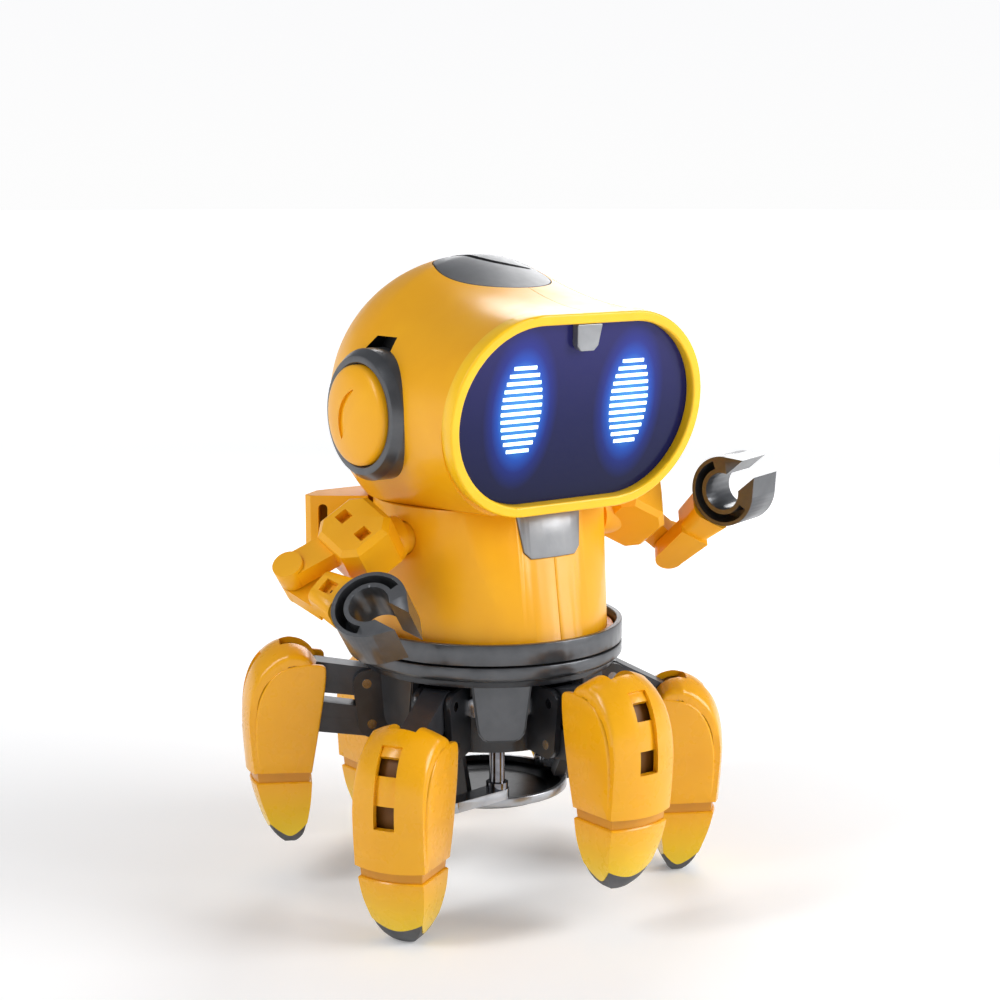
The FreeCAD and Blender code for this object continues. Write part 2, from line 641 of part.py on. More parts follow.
def build_yoke():
    """The hollow box across the back, with a wing behind each shoulder."""
    half, back = size("yoke_half_width"), size("yoke_back")
    low, top, wall = size("yoke_low"), size("yoke_top"), size("yoke_wall")
    rim = size("torso_low_radius") + 0.3

    def plan(inset):
        return [(-half + inset, back - 5, 0), (-half + inset, back - 8 + 0.4 * inset, 0),
                (-25 + inset, 17 + inset, 0), (25 - inset, 17 + inset, 0),
                (half - inset, back - 8 + 0.4 * inset, 0), (half - inset, back - 5, 0),
                (half - 7 - inset / 2, back - inset, 0), (-half + 7 + inset / 2, back - inset, 0)]

    outer = prism(plan(0.0), Vec(0, 0, top - low), Vec(0, 0, low))
    outer = outer.cut(rod(rim, (0, 0, low - 1), (0, 0, top + 1)))
    inner = prism(plan(wall), Vec(0, 0, top - low - 2 * wall), Vec(0, 0, low + wall))
    inner = inner.cut(rod(rim + wall, (0, 0, low - 1), (0, 0, top + 1)))
    yoke = outer.cut(inner)
    for side in (-1, 1):
        slot = box((-1.4, -3, low + 4.2), (1.4, 6, top - 4.2))
        for end in (low + 4.2, top - 4.2):
            slot = slot.fuse(rod(1.4, (0, -3, end), (0, 6, end)))
        spot = Vec(side * (half - 2.8), back - 10.7, 0)
        slot.Placement = Place(spot, Rot(Z_AXIS, side * 45))
        yoke = yoke.cut(slot)
    travel = size("switch_travel")
    yoke = yoke.cut(box((-4 - travel / 2, back - 5, low + 6), (4 + travel / 2, back + 5, low + 12)))
    shaped("back_yoke", yoke)

    knob = box((-3.7 - travel / 2, back - 4, low + 6.4), (3.7 - travel / 2, back + 1.2, low + 11.6))
    shaped("power_switch", round_edges(knob, 0.5, lambda edge: edge.BoundBox.YMin > back))


def build_power():
    """Four cells lying two by two in an open cradle, and the control board in front of them."""
    base = size("collar_seam") + size("seam_gap") + size("ring_floor")
    radius, pitch, play = size("cell_radius"), size("cell_pitch"), size("cell_play")
    half, wall = size("cell_length") / 2, size("tray_wall")
    lowest = base + size("tray_floor") + radius + play
    reach_x, reach_y = half + play + wall, pitch / 2 + radius + play + wall
    middle = size("tray_depth")
    tray = box((-reach_x, middle - reach_y, base), (reach_x, middle + reach_y, lowest + pitch))
    cells = []
    for row in (-0.5, 0.5):
        for z in (lowest, lowest + pitch):
            y = middle + row * pitch
            tray = tray.cut(rod(radius + play, (-half - play, y, z), (half + play, y, z)))
            cell = rod(radius, (-half, y, z), (half, y, z))
            cells.append(round_edges(cell, 0.6, lambda edge: edge.Length > 20))
    shaped("battery_tray", tray)
    group("battery_cells", cells)

    board = doc.addObject("Part::Box", "control_board")
    board.Label = "control_board"
    board.setExpression("Length", "sizes.board_width")
    board.setExpression("Width", "sizes.board_thick")
    board.setExpression("Height", "sizes.board_height")
    keep(board, Place(Vec(-size("board_width") / 2, size("board_y"), base), Rot()))


# ---- head ----------------------------------------------------------------------------------

def stadium_reach(angle, half_width, half_height):
    """Distance from the centre to a stadium's outline in a given direction."""
    sine, cosine = abs(math.sin(angle)), abs(math.cos(angle))
    straight = half_width - half_height
    if sine > 1e-9 and half_height * cosine / sine <= straight:
        return half_height / sine
    return straight * cosine + math.sqrt(half_height ** 2 - (straight * sine) ** 2)


def head_ring(fraction, inset, reach):
    """One cross-section: fraction -1 is the back of the dome, 0 its middle and 1 the face."""
    centre_y, centre_z = size("head_centre_y"), size("head_centre_z")
    wide, high = size("head_half_width") - inset, size("head_half_height") - inset
    if fraction < 0:
        turn = -fraction * math.pi / 2
        shrink, y = math.cos(turn), centre_y + (size("head_back") - inset) * math.sin(turn)
        blend, lean = 0.0, 0.0
    else:
        shrink, y = 1.0, centre_y - fraction * (centre_y - size("face_y") + reach)
        blend = math.sin(math.pi / 2 * min(fraction, 1.0)) ** 1.2
        lean = math.tan(math.radians(size("face_tilt"))) * fraction ** 2
    points = []
    for index in range(36):
        angle = 2 * math.pi * index / 36
        round_reach = 1 / math.hypot(math.cos(angle) / wide, math.sin(angle) / high)
        flat_reach = stadium_reach(angle, size("face_half_width") - inset,
                                   size("face_half_height") - inset)
        span = shrink * (round_reach + blend * (flat_reach - round_reach))
        x, z = span * math.cos(angle), span * math.sin(angle)
        points.append(Vec(x, y - z * lean, centre_z + z))
    spline = Part.BSplineCurve()
    spline.interpolate(points, True)
    return Part.Wire([spline.toShape()])


def head_solid(inset, reach=0.0):
    steps = (-0.93, -0.8, -0.6, -0.4, -0.2, 0.0, 0.15, 0.32, 0.5, 0.68, 0.85, 1.0)
    return Part.makeLoft([head_ring(step, inset, reach) for step in steps], True, False)


def face_frame():
    """Placement whose XZ plane is the tilted face plane, with +Y going into the head."""
    return Place(Vec(0, size("face_y"), size("head_centre_z")), Rot(X_AXIS, size("face_tilt")))


def stadium(half_width, half_height):
    """Sketch curves of a stadium centred on the sketch's origin."""
    flat = half_width - half_height
    corners = [Vec(flat, half_height, 0), Vec(-flat, half_height, 0),
               Vec(-flat, -half_height, 0), Vec(flat, -half_height, 0)]
    return [Part.LineSegment(corners[0], corners[1]),
            Part.Arc(corners[1], Vec(-half_width, 0, 0), corners[2]),
            Part.LineSegment(corners[2], corners[3]),
            Part.Arc(corners[3], Vec(half_width, 0, 0), corners[0])]


def ear_axis(side, reach):
    return (side * reach, size("ear_y"), size("ear_z"))


def build_head():
    wall = size("head_wall")
    outer = head_solid(0.0)
    hollow = head_solid(wall, 3.0)
    above = box((-80, -80, size("head_low")), (80, 80, 260))
    inside = box((-80, -80, size("head_low") + wall), (80, 80, 260))
    shell = outer.common(above).cut(hollow.common(inside))
    slab = box((-80, -20, -60), (80, size("bezel_depth"), 60))
    slab.Placement = face_frame()
    shell = shell.cut(slab)
    for side in (-1, 1):
        shell = shell.cut(rod(size("ear_radius") + 0.1, ear_axis(side, 30), ear_axis(side, 60)))
    cap_top = (0, size("button_y"), 230)
    shell = shell.cut(rod(size("button_radius") + size("button_play"),
                          (0, size("button_y"), 160), cap_top))
    shaped("head_shell_right", shell.common(box((-80, -80, 100), (0, 80, 260))))
    shaped("head_shell_left", shell.common(box((0, -80, 100), (80, 80, 260))))

    cap = outer.common(rod(size("button_radius"), (0, size("button_y"), 170), cap_top))
    cap = cap.cut(head_solid(wall + 1.0))
    slit = box((-9.0, -1.0, 190), (9.0, 1.0, 215))
    slit.Placement = Place(Vec(2.0, size("button_y"), 5.0), Rot(Z_AXIS, 78))
    shaped("top_button", cap.cut(slit))


def build_face():
    """Bezel, screen, eye bars and nose sensor, all in the tilted frame of the face."""
    wide, high = size("face_half_width"), size("face_half_height")
    rim = size("bezel_rim")
    bezel = new_body("face_bezel")
    pad(bezel, add_sketch(bezel, "XZ_Plane", stadium(wide, high)), "sizes.bezel_depth",
        downward=True)
    pocket(bezel, add_sketch(bezel, "XZ_Plane", stadium(wide - rim, high - rim)),
           "sizes.bezel_depth + 5", both=True)
    doc.recompute()
    frame = bezel.Tip
    front_edges = ["Edge%d" % (number + 1) for number, edge in enumerate(frame.Shape.Edges)
                   if all(abs(vertex.Y) < 1e-4 for vertex in edge.Vertexes)]
    soften = bezel.newObject("PartDesign::Fillet", "face_bezel_edge")
    soften.Base = (frame, front_edges)
    soften.Radius = 0.7
    bezel.Tip = soften
    keep(bezel, face_frame())

    screen = new_body("face_screen")
    recess = size("screen_recess")
    pad(screen, add_sketch(screen, "XZ_Plane", stadium(wide - rim - 0.1, high - rim - 0.1),
                           -recess), "sizes.screen_thick", downward=True)
    keep(screen, face_frame())

    bars = []
    for side in (-1, 1):
        for index in range(EYE_BARS):
            level = (index - (EYE_BARS - 1) / 2) * size("eye_pitch")
            oval = math.sqrt(1 - (level / size("eye_oval_half")) ** 2)
            half = size("eye_bar_width") / 2 * oval
            x, z = side * size("eye_spacing") / 2, size("eye_height") + level
            bar = box((x - half, recess - size("bar_depth"), z - size("bar_height") / 2),
                      (x + half, recess, z + size("bar_height") / 2))
            bar.Placement = face_frame()
            bars.append(bar)
    group("eye_bars", bars)

    top = high - rim - 0.2
    outline = [(-4.7, recess - 2.6, top), (-3.9, recess - 2.6, top - 6.6),
               (-2.6, recess - 2.6, top - 8.0), (2.6, recess - 2.6, top - 8.0),
               (3.9, recess - 2.6, top - 6.6), (4.7, recess - 2.6, top)]
    shaped("nose_sensor", prism(outline, Vec(0, 2.6, 0), Vec(0, 0, 0)), face_frame())


def build_ears():
    """A chamfered cup on each side of the head, with a domed yellow disc in it."""
    radius, reach = size("ear_radius"), size("ear_reach")
    dome, seat = size("ear_dome_radius"), size("ear_reach") - 3.0
    rings, domes = [], []
    for side in (-1, 1):
        ring = rod(radius, ear_axis(side, reach - 9.5), ear_axis(side, reach))
        ring = ring.cut(rod(dome + 0.15, ear_axis(side, seat), ear_axis(side, reach + 1)))
        face_x = side * reach
        outer_edge = [edge for edge in ring.Edges if abs(edge.BoundBox.XMin - face_x) < 1e-4
                      and abs(edge.BoundBox.XMax - face_x) < 1e-4 and edge.BoundBox.YLength > 35]
        rings.append(ring.makeChamfer(2.2, outer_edge))
        height = size("ear_dome_reach") - seat
        ball = (dome ** 2 + (height - 1.5) ** 2) / (2 * (height - 1.5))
        disc = rod(dome, ear_axis(side, seat), ear_axis(side, seat + height + 1))
        sphere = Part.makeSphere(ball, Vec(*ear_axis(side, seat + height - ball)))
        domes.append(disc.common(sphere))
    group("ear_rings", rings)
    group("ear_domes", domes)


# ---- arms ----------------------------------------------------------------------------------

def frame_from(origin, forward, normal):
    """Placement with local Y along forward and local Z along normal."""
    z_axis = Vec(*normal).normalize()
    y_axis = Vec(*forward)
    y_axis = (y_axis - z_axis * y_axis.dot(z_axis)).normalize()
    x_axis = y_axis.cross(z_axis)
    matrix = FreeCAD.Matrix(x_axis.x, y_axis.x, z_axis.x, origin.x,
                            x_axis.y, y_axis.y, z_axis.y, origin.y,
                            x_axis.z, y_axis.z, z_axis.z, origin.z, 0, 0, 0, 1)
    return Place(matrix)


# side, forearm direction, elbow axis, elbow bend (degrees) and wrist roll (degrees) as posed
ARMS = [("right", -1, (0.078, -0.913, -0.400), (-0.585, -0.365, 0.722), 13.6, 0.0),
        ("left", 1, (0.18, -0.75, 0.64), (0.47, 0.63, 0.61), 0.0, 130.0)]


def arm_pose(side, forward, normal, bend, roll):
    """Placements of the shoulder block, the forearm and the hand of one arm."""
    centre = Vec(side * size("arm_block_x"), size("arm_block_y"), size("arm_block_z"))
    block = frame_from(centre, forward, normal)
    elbow = Place(Vec(-side * size("elbow_out"), size("elbow_back"), 0), Rot(Z_AXIS, -side * bend))
    forearm = block.multiply(elbow)
    wrist = Place(Vec(0, size("hand_reach"), 0), Rot(Y_AXIS, roll))
    return block, forearm, forearm.multiply(wrist)


def build_block(name, side, placement):
    """Shoulder block, upper arm bar and elbow eye in one piece; outward is local -side * X."""
    long, wide, high = size("block_length") / 2, size("block_width") / 2, size("block_height") / 2
    block = box((-long, -wide, -high), (long, wide, high))
    upright = [edge for edge in block.Edges if edge.BoundBox.ZLength > high]
    block = block.makeChamfer(size("block_chamfer"), upright)
    level = [edge for edge in block.Edges if edge.BoundBox.ZLength < 0.01]
    block = block.makeChamfer(1.6, level)
    out = -side
    elbow = (out * size("elbow_out"), size("elbow_back"))
    start, end = Vec(out * 4.0, -2.0, 0), Vec(elbow[0], elbow[1], 0)
    along = (end - start).normalize()
    across = along.cross(Z_AXIS) * (size("bar_width") / 2)
    split = size("elbow_split")
    corners = [start + across, end + across, end - across, start - across]
    bar = prism([(c.x, c.y, split) for c in corners], Vec(0, 0, size("elbow_top") - split - 1.2),
                Vec(0, 0, 0))
    eye = rod(size("elbow_radius"), (*elbow, split), (*elbow, size("elbow_top")))
    block = block.fuse(bar).fuse(eye)
    for y in (-4.6, 5.2):
        block = block.cut(box((-2.0, y - 2.0, high - 3.0), (2.0, y + 2.0, high + 1)))
    pin = size("wrist_radius") - 0.7
    block = block.cut(rod(pin + size("pin_play"), (*elbow, split - 1), (*elbow, split + 5)))
    block.Placement = placement
    shoulder = (size("shoulder_depth"), size("shoulder_height"))
    neck = rod(size("shoulder_bore") + 2.0, (side * 38.4, *shoulder), (side * 48, *shoulder))
    spigot = rod(size("shoulder_bore"), (side * 30, *shoulder), (side * 40, *shoulder))
    flange = rod(size("shoulder_bore") + 1.6, (side * 31, *shoulder), (side * 32.5, *shoulder))
    shaped("shoulder_block_" + name, block.fuse(neck).fuse(spigot).fuse(flange))


def build_forearm(name, placement):
    low, split = size("elbow_low"), size("elbow_split") - size("elbow_gap")
    half, end_half = size("bar_width") / 2, size("forearm_end_width") / 2
    length, thick = size("forearm_length"), size("forearm_thick") / 2
    lap = prism([(-half, 0, low), (half, 0, low), (half + 1, 13, low), (-half - 1, 13, low)],
                Vec(0, 0, split - low), Vec(0, 0, 0))
    lap = lap.fuse(rod(size("elbow_radius"), (0, 0, low), (0, 0, split)))
    root = half + 1
    sleeve = prism([(-root, 12.0, low + 1), (root, 12.0, low + 1), (end_half, length, low + 1),
                    (-end_half, length, low + 1)], Vec(0, 0, thick - low - 1), Vec(0, 0, 0))
    along = [edge for edge in sleeve.Edges if edge.BoundBox.YLength > 5]
    sleeve = sleeve.makeFillet(3.0, along)
    arm = lap.fuse(sleeve)
    arm = arm.cut(box((-2.2, 14.2, thick - 2.5), (2.2, 18.6, thick + 1)))
    pin = size("wrist_radius") - 0.7
    arm = arm.fuse(rod(pin, (0, 0, split - 1), (0, 0, split + 4.6)))
    wrist = size("wrist_radius") + size("pin_play")
    arm = arm.cut(rod(wrist, (0, length - 5.0, 0), (0, length + 1, 0)))
    shaped("forearm_" + name, arm, placement)


def build_hand(name, side, placement):
    """A C-shaped gripper: an outer shell, an inner ring and two jaw tips either side of a gap."""
    radius, tip, gap = size("hand_radius"), size("hand_tip"), size("hand_gap") / 2
    depth, hole = size("hand_depth"), size("hand_hole")
    corner = radius * math.sqrt(0.5)
    reach = 2 * corner - gap
    tip_low = min(reach, tip)
    outline = [Part.Arc(Vec(corner, corner, 0), Vec(0, -radius, 0), Vec(-corner, corner, 0)),
               Part.LineSegment(Vec(-corner, corner, 0), Vec(-(2 * corner - tip_low), tip_low, 0)),
               Part.LineSegment(Vec(-(2 * corner - tip_low), tip_low, 0),
                                Vec(2 * corner - tip_low, tip_low, 0)),
               Part.LineSegment(Vec(2 * corner - tip_low, tip_low, 0), Vec(corner, corner, 0))]
    hand = new_body("hand_" + name)
    pad(hand, add_sketch(hand, "XY_Plane", outline), "sizes.hand_depth", both=True)
    pocket(hand, add_circles(hand, "XY_Plane", [(0, 0, "sizes.hand_hole")]),
           "sizes.hand_depth + 2", both=True)
    gap_outline = loop([(-gap, 0), (gap, 0), (gap, tip + 6), (-gap, tip + 6)])
    pocket(hand, add_sketch(hand, "XY_Plane", gap_outline), "sizes.hand_depth + 2", both=True)
    inner = hole + size("hand_ring_wall")
    outer = radius - size("hand_shell_wall")
    rise = math.sin(math.radians(20))
    run = math.cos(math.radians(20))
    cavity = [Part.Arc(Vec(outer * run, outer * rise, 0), Vec(0, -outer, 0),
                       Vec(-outer * run, outer * rise, 0)),
              Part.LineSegment(Vec(-outer * run, outer * rise, 0), Vec(-inner * run, inner * rise, 0)),
              Part.Arc(Vec(-inner * run, inner * rise, 0), Vec(0, -inner, 0),
                       Vec(inner * run, inner * rise, 0)),
              Part.LineSegment(Vec(inner * run, inner * rise, 0), Vec(outer * run, outer * rise, 0))]
    pocket(hand, add_sketch(hand, "XY_Plane", cavity, depth / 2), "sizes.hand_pocket")
    wrist_length = size("hand_reach") - size("forearm_length") - radius + 5.0
    pad(hand, add_circles(hand, "XZ_Plane", [(0, 0, "sizes.wrist_radius")], radius - 0.6),
        "%.2f" % (wrist_length + 0.4))
    keep(hand, placement)


def build_arms():
    for name, side, forward, normal, bend, roll in ARMS:
        block, forearm, hand = arm_pose(side, forward, normal, bend, roll)
        build_block(name, side, block)
        build_forearm(name, forearm)
        build_hand(name, side, hand)


# ---- build, check and export ---------------------------------------------------------------

build_collar()
build_turntable_ring()
build_hub_frame()
build_hub_struts()
build_hub_pins()
build_dish()
build_dish_arms()
build_guide_posts()
build_drive()
build_legs()
build_links()
build_torso()
build_yoke()
build_power()
build_head()
build_face()
build_ears()
build_arms()
doc.recompute()

for feature in doc.Objects:
    if "Invalid" in feature.State or "Error" in feature.State:
        raise RuntimeError("failed feature: " + feature.Name)
for piece in pieces:
    if piece.Shape.isNull() or not piece.Shape.isValid() or piece.Shape.Volume <= 0:
        raise RuntimeError("bad shape: " + piece.Label)

os.makedirs("parts", exist_ok=True)
for piece in pieces:
    piece.Shape.exportStep("parts/" + piece.Label + ".step")
print("%d pieces" % len(pieces))
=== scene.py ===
import json
import math

import bmesh
import bpy
from mathutils import Matrix, Vector


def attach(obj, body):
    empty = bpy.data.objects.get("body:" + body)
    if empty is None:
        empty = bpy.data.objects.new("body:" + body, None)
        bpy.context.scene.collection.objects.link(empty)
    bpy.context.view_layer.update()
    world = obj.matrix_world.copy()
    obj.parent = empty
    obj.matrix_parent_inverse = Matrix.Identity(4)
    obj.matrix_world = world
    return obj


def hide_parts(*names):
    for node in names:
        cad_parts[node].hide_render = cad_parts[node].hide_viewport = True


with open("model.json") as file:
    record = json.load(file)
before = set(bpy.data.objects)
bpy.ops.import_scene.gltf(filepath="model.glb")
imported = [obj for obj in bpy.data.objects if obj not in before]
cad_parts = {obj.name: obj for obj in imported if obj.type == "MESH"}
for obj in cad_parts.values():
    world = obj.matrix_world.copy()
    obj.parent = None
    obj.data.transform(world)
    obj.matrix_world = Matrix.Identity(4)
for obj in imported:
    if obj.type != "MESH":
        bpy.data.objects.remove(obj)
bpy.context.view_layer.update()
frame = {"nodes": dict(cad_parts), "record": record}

MM = 0.001
# places and sizes are in millimetres, as in the CAD source, unless a comment says metres
HEAD_Y, HEAD_Z, HEAD_LOW = 5.0, 154.0, 125.0
HEAD_HALF_WIDTH, HEAD_HALF_HEIGHT = 46.0, 45.0
HEAD_BACK, HEAD_FRONT = 47.4, 51.1
FACE_HALF_WIDTH, FACE_HALF_HEIGHT = 46.9, 30.2
FACE_TILT = math.radians(9.5)
FACE_POINT = Vector((0.0, HEAD_Y - HEAD_FRONT, HEAD_Z))
FACE_NORMAL = Vector((0.0, math.cos(FACE_TILT), math.sin(FACE_TILT)))
BEZEL_DEPTH = 4.6
CAP_CENTRE, CAP_RADIUS, CAP_GAP = (0.0, -2.0), 18.0, 0.4
EAR_Y, EAR_Z = -2.5, 153.0
# direction in degrees, and whether the leg is lifted at rest
LEGS = {"a": (150.0, True), "b": (-150.0, False), "c": (-90.0, True),
        "d": (-30.0, False), "e": (30.0, True), "f": (90.0, False)}
LINK, RAISED, LOWERED = 24.0, math.radians(8.0), math.radians(-28.0)


# ---- materials -----------------------------------------------------------------------------

COAT_ROUGHNESS, METAL_SPECULAR, PLASTIC_SPECULAR = 0.14, 0.5, 0.34
# the eyes on the screen, in metres
EYE_X, EYE_Z, EYE_HALF_WIDTH, EYE_HALF_HEIGHT = 0.0202, 0.1562, 0.0084, 0.0149
SCREEN_LOW, SCREEN_HIGH, GLOW_REACH = 0.128, 0.181, 1.6
# where the dish's plated rim ends and its black inside begins, in metres from the middle
DISH_INSIDE, DISH_RIM = 0.0234, 0.0236


def new_material(name):
    """A node material and its shader."""
    material = bpy.data.materials.new(name)
    material.use_nodes = True
    tree = material.node_tree
    return material, tree, tree.nodes["Principled BSDF"]


def add_node(tree, kind, **inputs):
    """A node with some of its inputs set; an underscore in a name stands for a space."""
    node = tree.nodes.new(kind)
    for key, value in inputs.items():
        node.inputs[key.replace("_", " ")].default_value = value
    return node


def gray(value):
    return (value, value, value)


def ramp(tree, source, stops):
    """The colour from a ramp of (place, colour) stops."""
    node = tree.nodes.new("ShaderNodeValToRGB")
    band = node.color_ramp
    while len(band.elements) < len(stops):
        band.elements.new(0.5)
    for element, (place, colour) in zip(band.elements, stops):
        element.position = place
        element.color = (*colour, 1.0)
    tree.links.new(source, node.inputs["Fac"])
    return node.outputs["Color"]


def moulded(name, dark, light, rough, metallic=0.0, coat=0.0, mottle=70.0, grain=1800.0,
            grain_depth=0.00002, rough_swing=0.06, foot=None):
    """Injection-moulded plastic: faint flow mottling, fine grain and uneven gloss; foot adds a
    painted yellow-green bounce light low down.
    """
    material, tree, shader = new_material(name)
    place = tree.nodes.new("ShaderNodeTexCoord").outputs["Object"]
    flow = add_node(tree, "ShaderNodeTexNoise", Scale=mottle, Detail=4.0, Distortion=0.4)
    tree.links.new(place, flow.inputs["Vector"])
    colour = ramp(tree, flow.outputs["Fac"], [(0.3, dark), (0.7, light)])
    # painted light: a yellow-green bounce tint, full at the bottom and gone by the foot's height
    if foot:
        parts = tree.nodes.new("ShaderNodeSeparateXYZ")
        tree.links.new(place, parts.inputs["Vector"])
        fade = tree.nodes.new("ShaderNodeMapRange")
        fade.inputs["From Min"].default_value, fade.inputs["From Max"].default_value = foot[0]
        tree.links.new(parts.outputs["Z"], fade.inputs["Value"])
        mix = tree.nodes.new("ShaderNodeMix")
        mix.data_type = "RGBA"
        tree.links.new(fade.outputs["Result"], mix.inputs["Factor"])
        mix.inputs[6].default_value = (*foot[1], 1.0)
        tree.links.new(colour, mix.inputs[7])
        colour = mix.outputs[2]
    tree.links.new(colour, shader.inputs["Base Color"])
    smear = add_node(tree, "ShaderNodeTexNoise", Scale=mottle * 3.1, Detail=2.0)
    tree.links.new(place, smear.inputs["Vector"])
    gloss = tree.nodes.new("ShaderNodeMapRange")
    gloss.inputs["To Min"].default_value = rough - rough_swing
    gloss.inputs["To Max"].default_value = rough + rough_swing
    tree.links.new(smear.outputs["Fac"], gloss.inputs["Value"])
    tree.links.new(gloss.outputs["Result"], shader.inputs["Roughness"])
    fine = add_node(tree, "ShaderNodeTexNoise", Scale=grain, Detail=2.0)
    tree.links.new(place, fine.inputs["Vector"])
    bump = add_node(tree, "ShaderNodeBump", Strength=0.25, Distance=grain_depth)
    tree.links.new(fine.outputs["Fac"], bump.inputs["Height"])
    tree.links.new(bump.outputs["Normal"], shader.inputs["Normal"])
    shader.inputs["Metallic"].default_value = metallic
    shader.inputs["Coat Weight"].default_value = coat
    shader.inputs["Coat Roughness"].default_value = COAT_ROUGHNESS
    shader.inputs["Specular IOR Level"].default_value = (METAL_SPECULAR if metallic
                                                         else PLASTIC_SPECULAR)
    return material


def screen_material():
    """Dark window, lighter above, with a blue glow that fades out round each eye."""
    material, tree, shader = new_material("screen_window")
    place = tree.nodes.new("ShaderNodeTexCoord").outputs["Object"]
    parts = tree.nodes.new("ShaderNodeSeparateXYZ")
    tree.links.new(place, parts.inputs["Vector"])
    height = tree.nodes.new("ShaderNodeMapRange")
    height.inputs["From Min"].default_value = SCREEN_LOW
    height.inputs["From Max"].default_value = SCREEN_HIGH
    tree.links.new(parts.outputs["Z"], height.inputs["Value"])
    tint = ramp(tree, height.outputs["Result"],
                [(0.0, (0.006, 0.007, 0.028)), (0.45, (0.010, 0.011, 0.060)),
                 (1.0, (0.026, 0.024, 0.125))])
    tree.links.new(tint, shader.inputs["Base Color"])

    def calc(operation, first, second=None):
        node = tree.nodes.new("ShaderNodeMath")
        node.operation = operation
        tree.links.new(first, node.inputs[0])
        if second is not None:
            node.inputs[1].default_value = second
        return node.outputs[0]

    from_eye = calc("SUBTRACT", calc("ABSOLUTE", parts.outputs["X"]), EYE_X)
    across = calc("DIVIDE", from_eye, EYE_HALF_WIDTH)
    along = calc("DIVIDE", calc("SUBTRACT", parts.outputs["Z"], EYE_Z), EYE_HALF_HEIGHT)
    both = tree.nodes.new("ShaderNodeCombineXYZ")
    tree.links.new(across, both.inputs["X"])
    tree.links.new(along, both.inputs["Y"])
    reach = tree.nodes.new("ShaderNodeVectorMath")
    reach.operation = "LENGTH"
    tree.links.new(both.outputs["Vector"], reach.inputs[0])
    near = calc("DIVIDE", reach.outputs["Value"], GLOW_REACH)
    glow = ramp(tree, near, [(0.0, (0.07, 0.38, 0.86)), (0.46, (0.03, 0.26, 0.74)),
                             (0.62, (0.004, 0.075, 0.44)), (0.78, (0.001, 0.014, 0.15)),
                             (1.0, (0.0, 0.001, 0.012))])
    tree.links.new(glow, shader.inputs["Emission Color"])
    shader.inputs["Emission Strength"].default_value = 1.0
    shader.inputs["Roughness"].default_value = 0.16
    shader.inputs["Specular IOR Level"].default_value = 0.16
    return material


def light_bar_material():
    """Glowing pale blue bars."""
    material, tree, shader = new_material("light_bars")
    place = tree.nodes.new("ShaderNodeTexCoord").outputs["Object"]
    noise = add_node(tree, "ShaderNodeTexNoise", Scale=260.0, Detail=1.0)
    tree.links.new(place, noise.inputs["Vector"])
    colour = ramp(tree, noise.outputs["Fac"], [(0.3, (0.55, 0.88, 1.0)), (0.7, (0.85, 0.98, 1.0))])
    tree.links.new(colour, shader.inputs["Emission Color"])
    tree.links.new(colour, shader.inputs["Base Color"])
    shader.inputs["Emission Strength"].default_value = 1.7
    return material


YELLOW_DARK, YELLOW_LIGHT = (0.850, 0.385, 0.003), (0.885, 0.418, 0.004)
shell_look = moulded("shell_plastic", YELLOW_DARK, YELLOW_LIGHT, 0.36, coat=0.10)
bezel_look = moulded("bezel_plastic", (0.92, 0.52, 0.006), (0.97, 0.57, 0.008), 0.36, coat=0.2)
# painted light: the legs' yellow-green bounce tint towards the foot
leg_look = moulded("leg_plastic", YELLOW_DARK, YELLOW_LIGHT, 0.28, coat=0.3,
                   foot=((0.0, 0.021), (0.84, 0.62, 0.004)))
gray_look = moulded("gray_plastic", (0.085, 0.088, 0.094), (0.115, 0.119, 0.127), 0.32,
                    metallic=0.7, coat=0.25, mottle=120.0)
plate_look = moulded("plate_plastic", (0.24, 0.245, 0.255), (0.31, 0.315, 0.325), 0.38,
                     metallic=0.7, coat=0.2, mottle=120.0)
# painted shade: the leg's neck, a groove between shell and foot, is a darker orange
neck_shade_look = moulded("neck_painted_shade", (0.60, 0.25, 0.004), (0.66, 0.28, 0.005), 0.34, coat=0.3)
cap_look = moulded("cap_plastic", (0.100, 0.103, 0.110), (0.130, 0.134, 0.142), 0.42, metallic=0.3,
                   coat=0.05, mottle=120.0)
# painted shade: dark brown for the inside of the legs, where the yellow shell lies in shade
shade_inside_look = moulded("painted_shade_inside", (0.11, 0.042, 0.003), (0.16, 0.062, 0.004), 0.5)
dark_look = moulded("dark_plastic", (0.012, 0.013, 0.016), (0.026, 0.028, 0.033), 0.36,
                    metallic=0.2, coat=0.3, mottle=140.0)
link_look = moulded("link_plastic", (0.028, 0.031, 0.038), (0.050, 0.054, 0.064), 0.38,
                    metallic=0.3, coat=0.25, mottle=110.0)
steel_look = moulded("polished_steel", (0.16, 0.16, 0.175), (0.30, 0.30, 0.325), 0.17, metallic=1.0,
                     mottle=300.0, grain_depth=0.00001)
silver_look = moulded("silver_plate", (0.34, 0.35, 0.37), (0.50, 0.51, 0.54), 0.24, metallic=1.0,
                      mottle=160.0)
rubber_look = moulded("toe_rubber", (0.075, 0.078, 0.084), (0.110, 0.113, 0.120), 0.62,
                      mottle=260.0, grain=2600.0, grain_depth=0.00008)
# black for black plastic parts, and painted shade on the cut faces of the cap's slit and the ears'
# notches
black_and_shade_look = moulded("black_plastic", (0.006, 0.006, 0.007), (0.014, 0.014, 0.016), 0.5)
nylon_look = moulded("white_nylon", (0.68, 0.66, 0.60), (0.80, 0.78, 0.72), 0.42)
cell_look = moulded("cell_wrap", (0.10, 0.16, 0.22), (0.16, 0.24, 0.32), 0.3, metallic=0.5)
board_look = moulded("circuit_board", (0.012, 0.09, 0.035), (0.02, 0.15, 0.055), 0.4)
window_look, bars_look = screen_material(), light_bar_material()


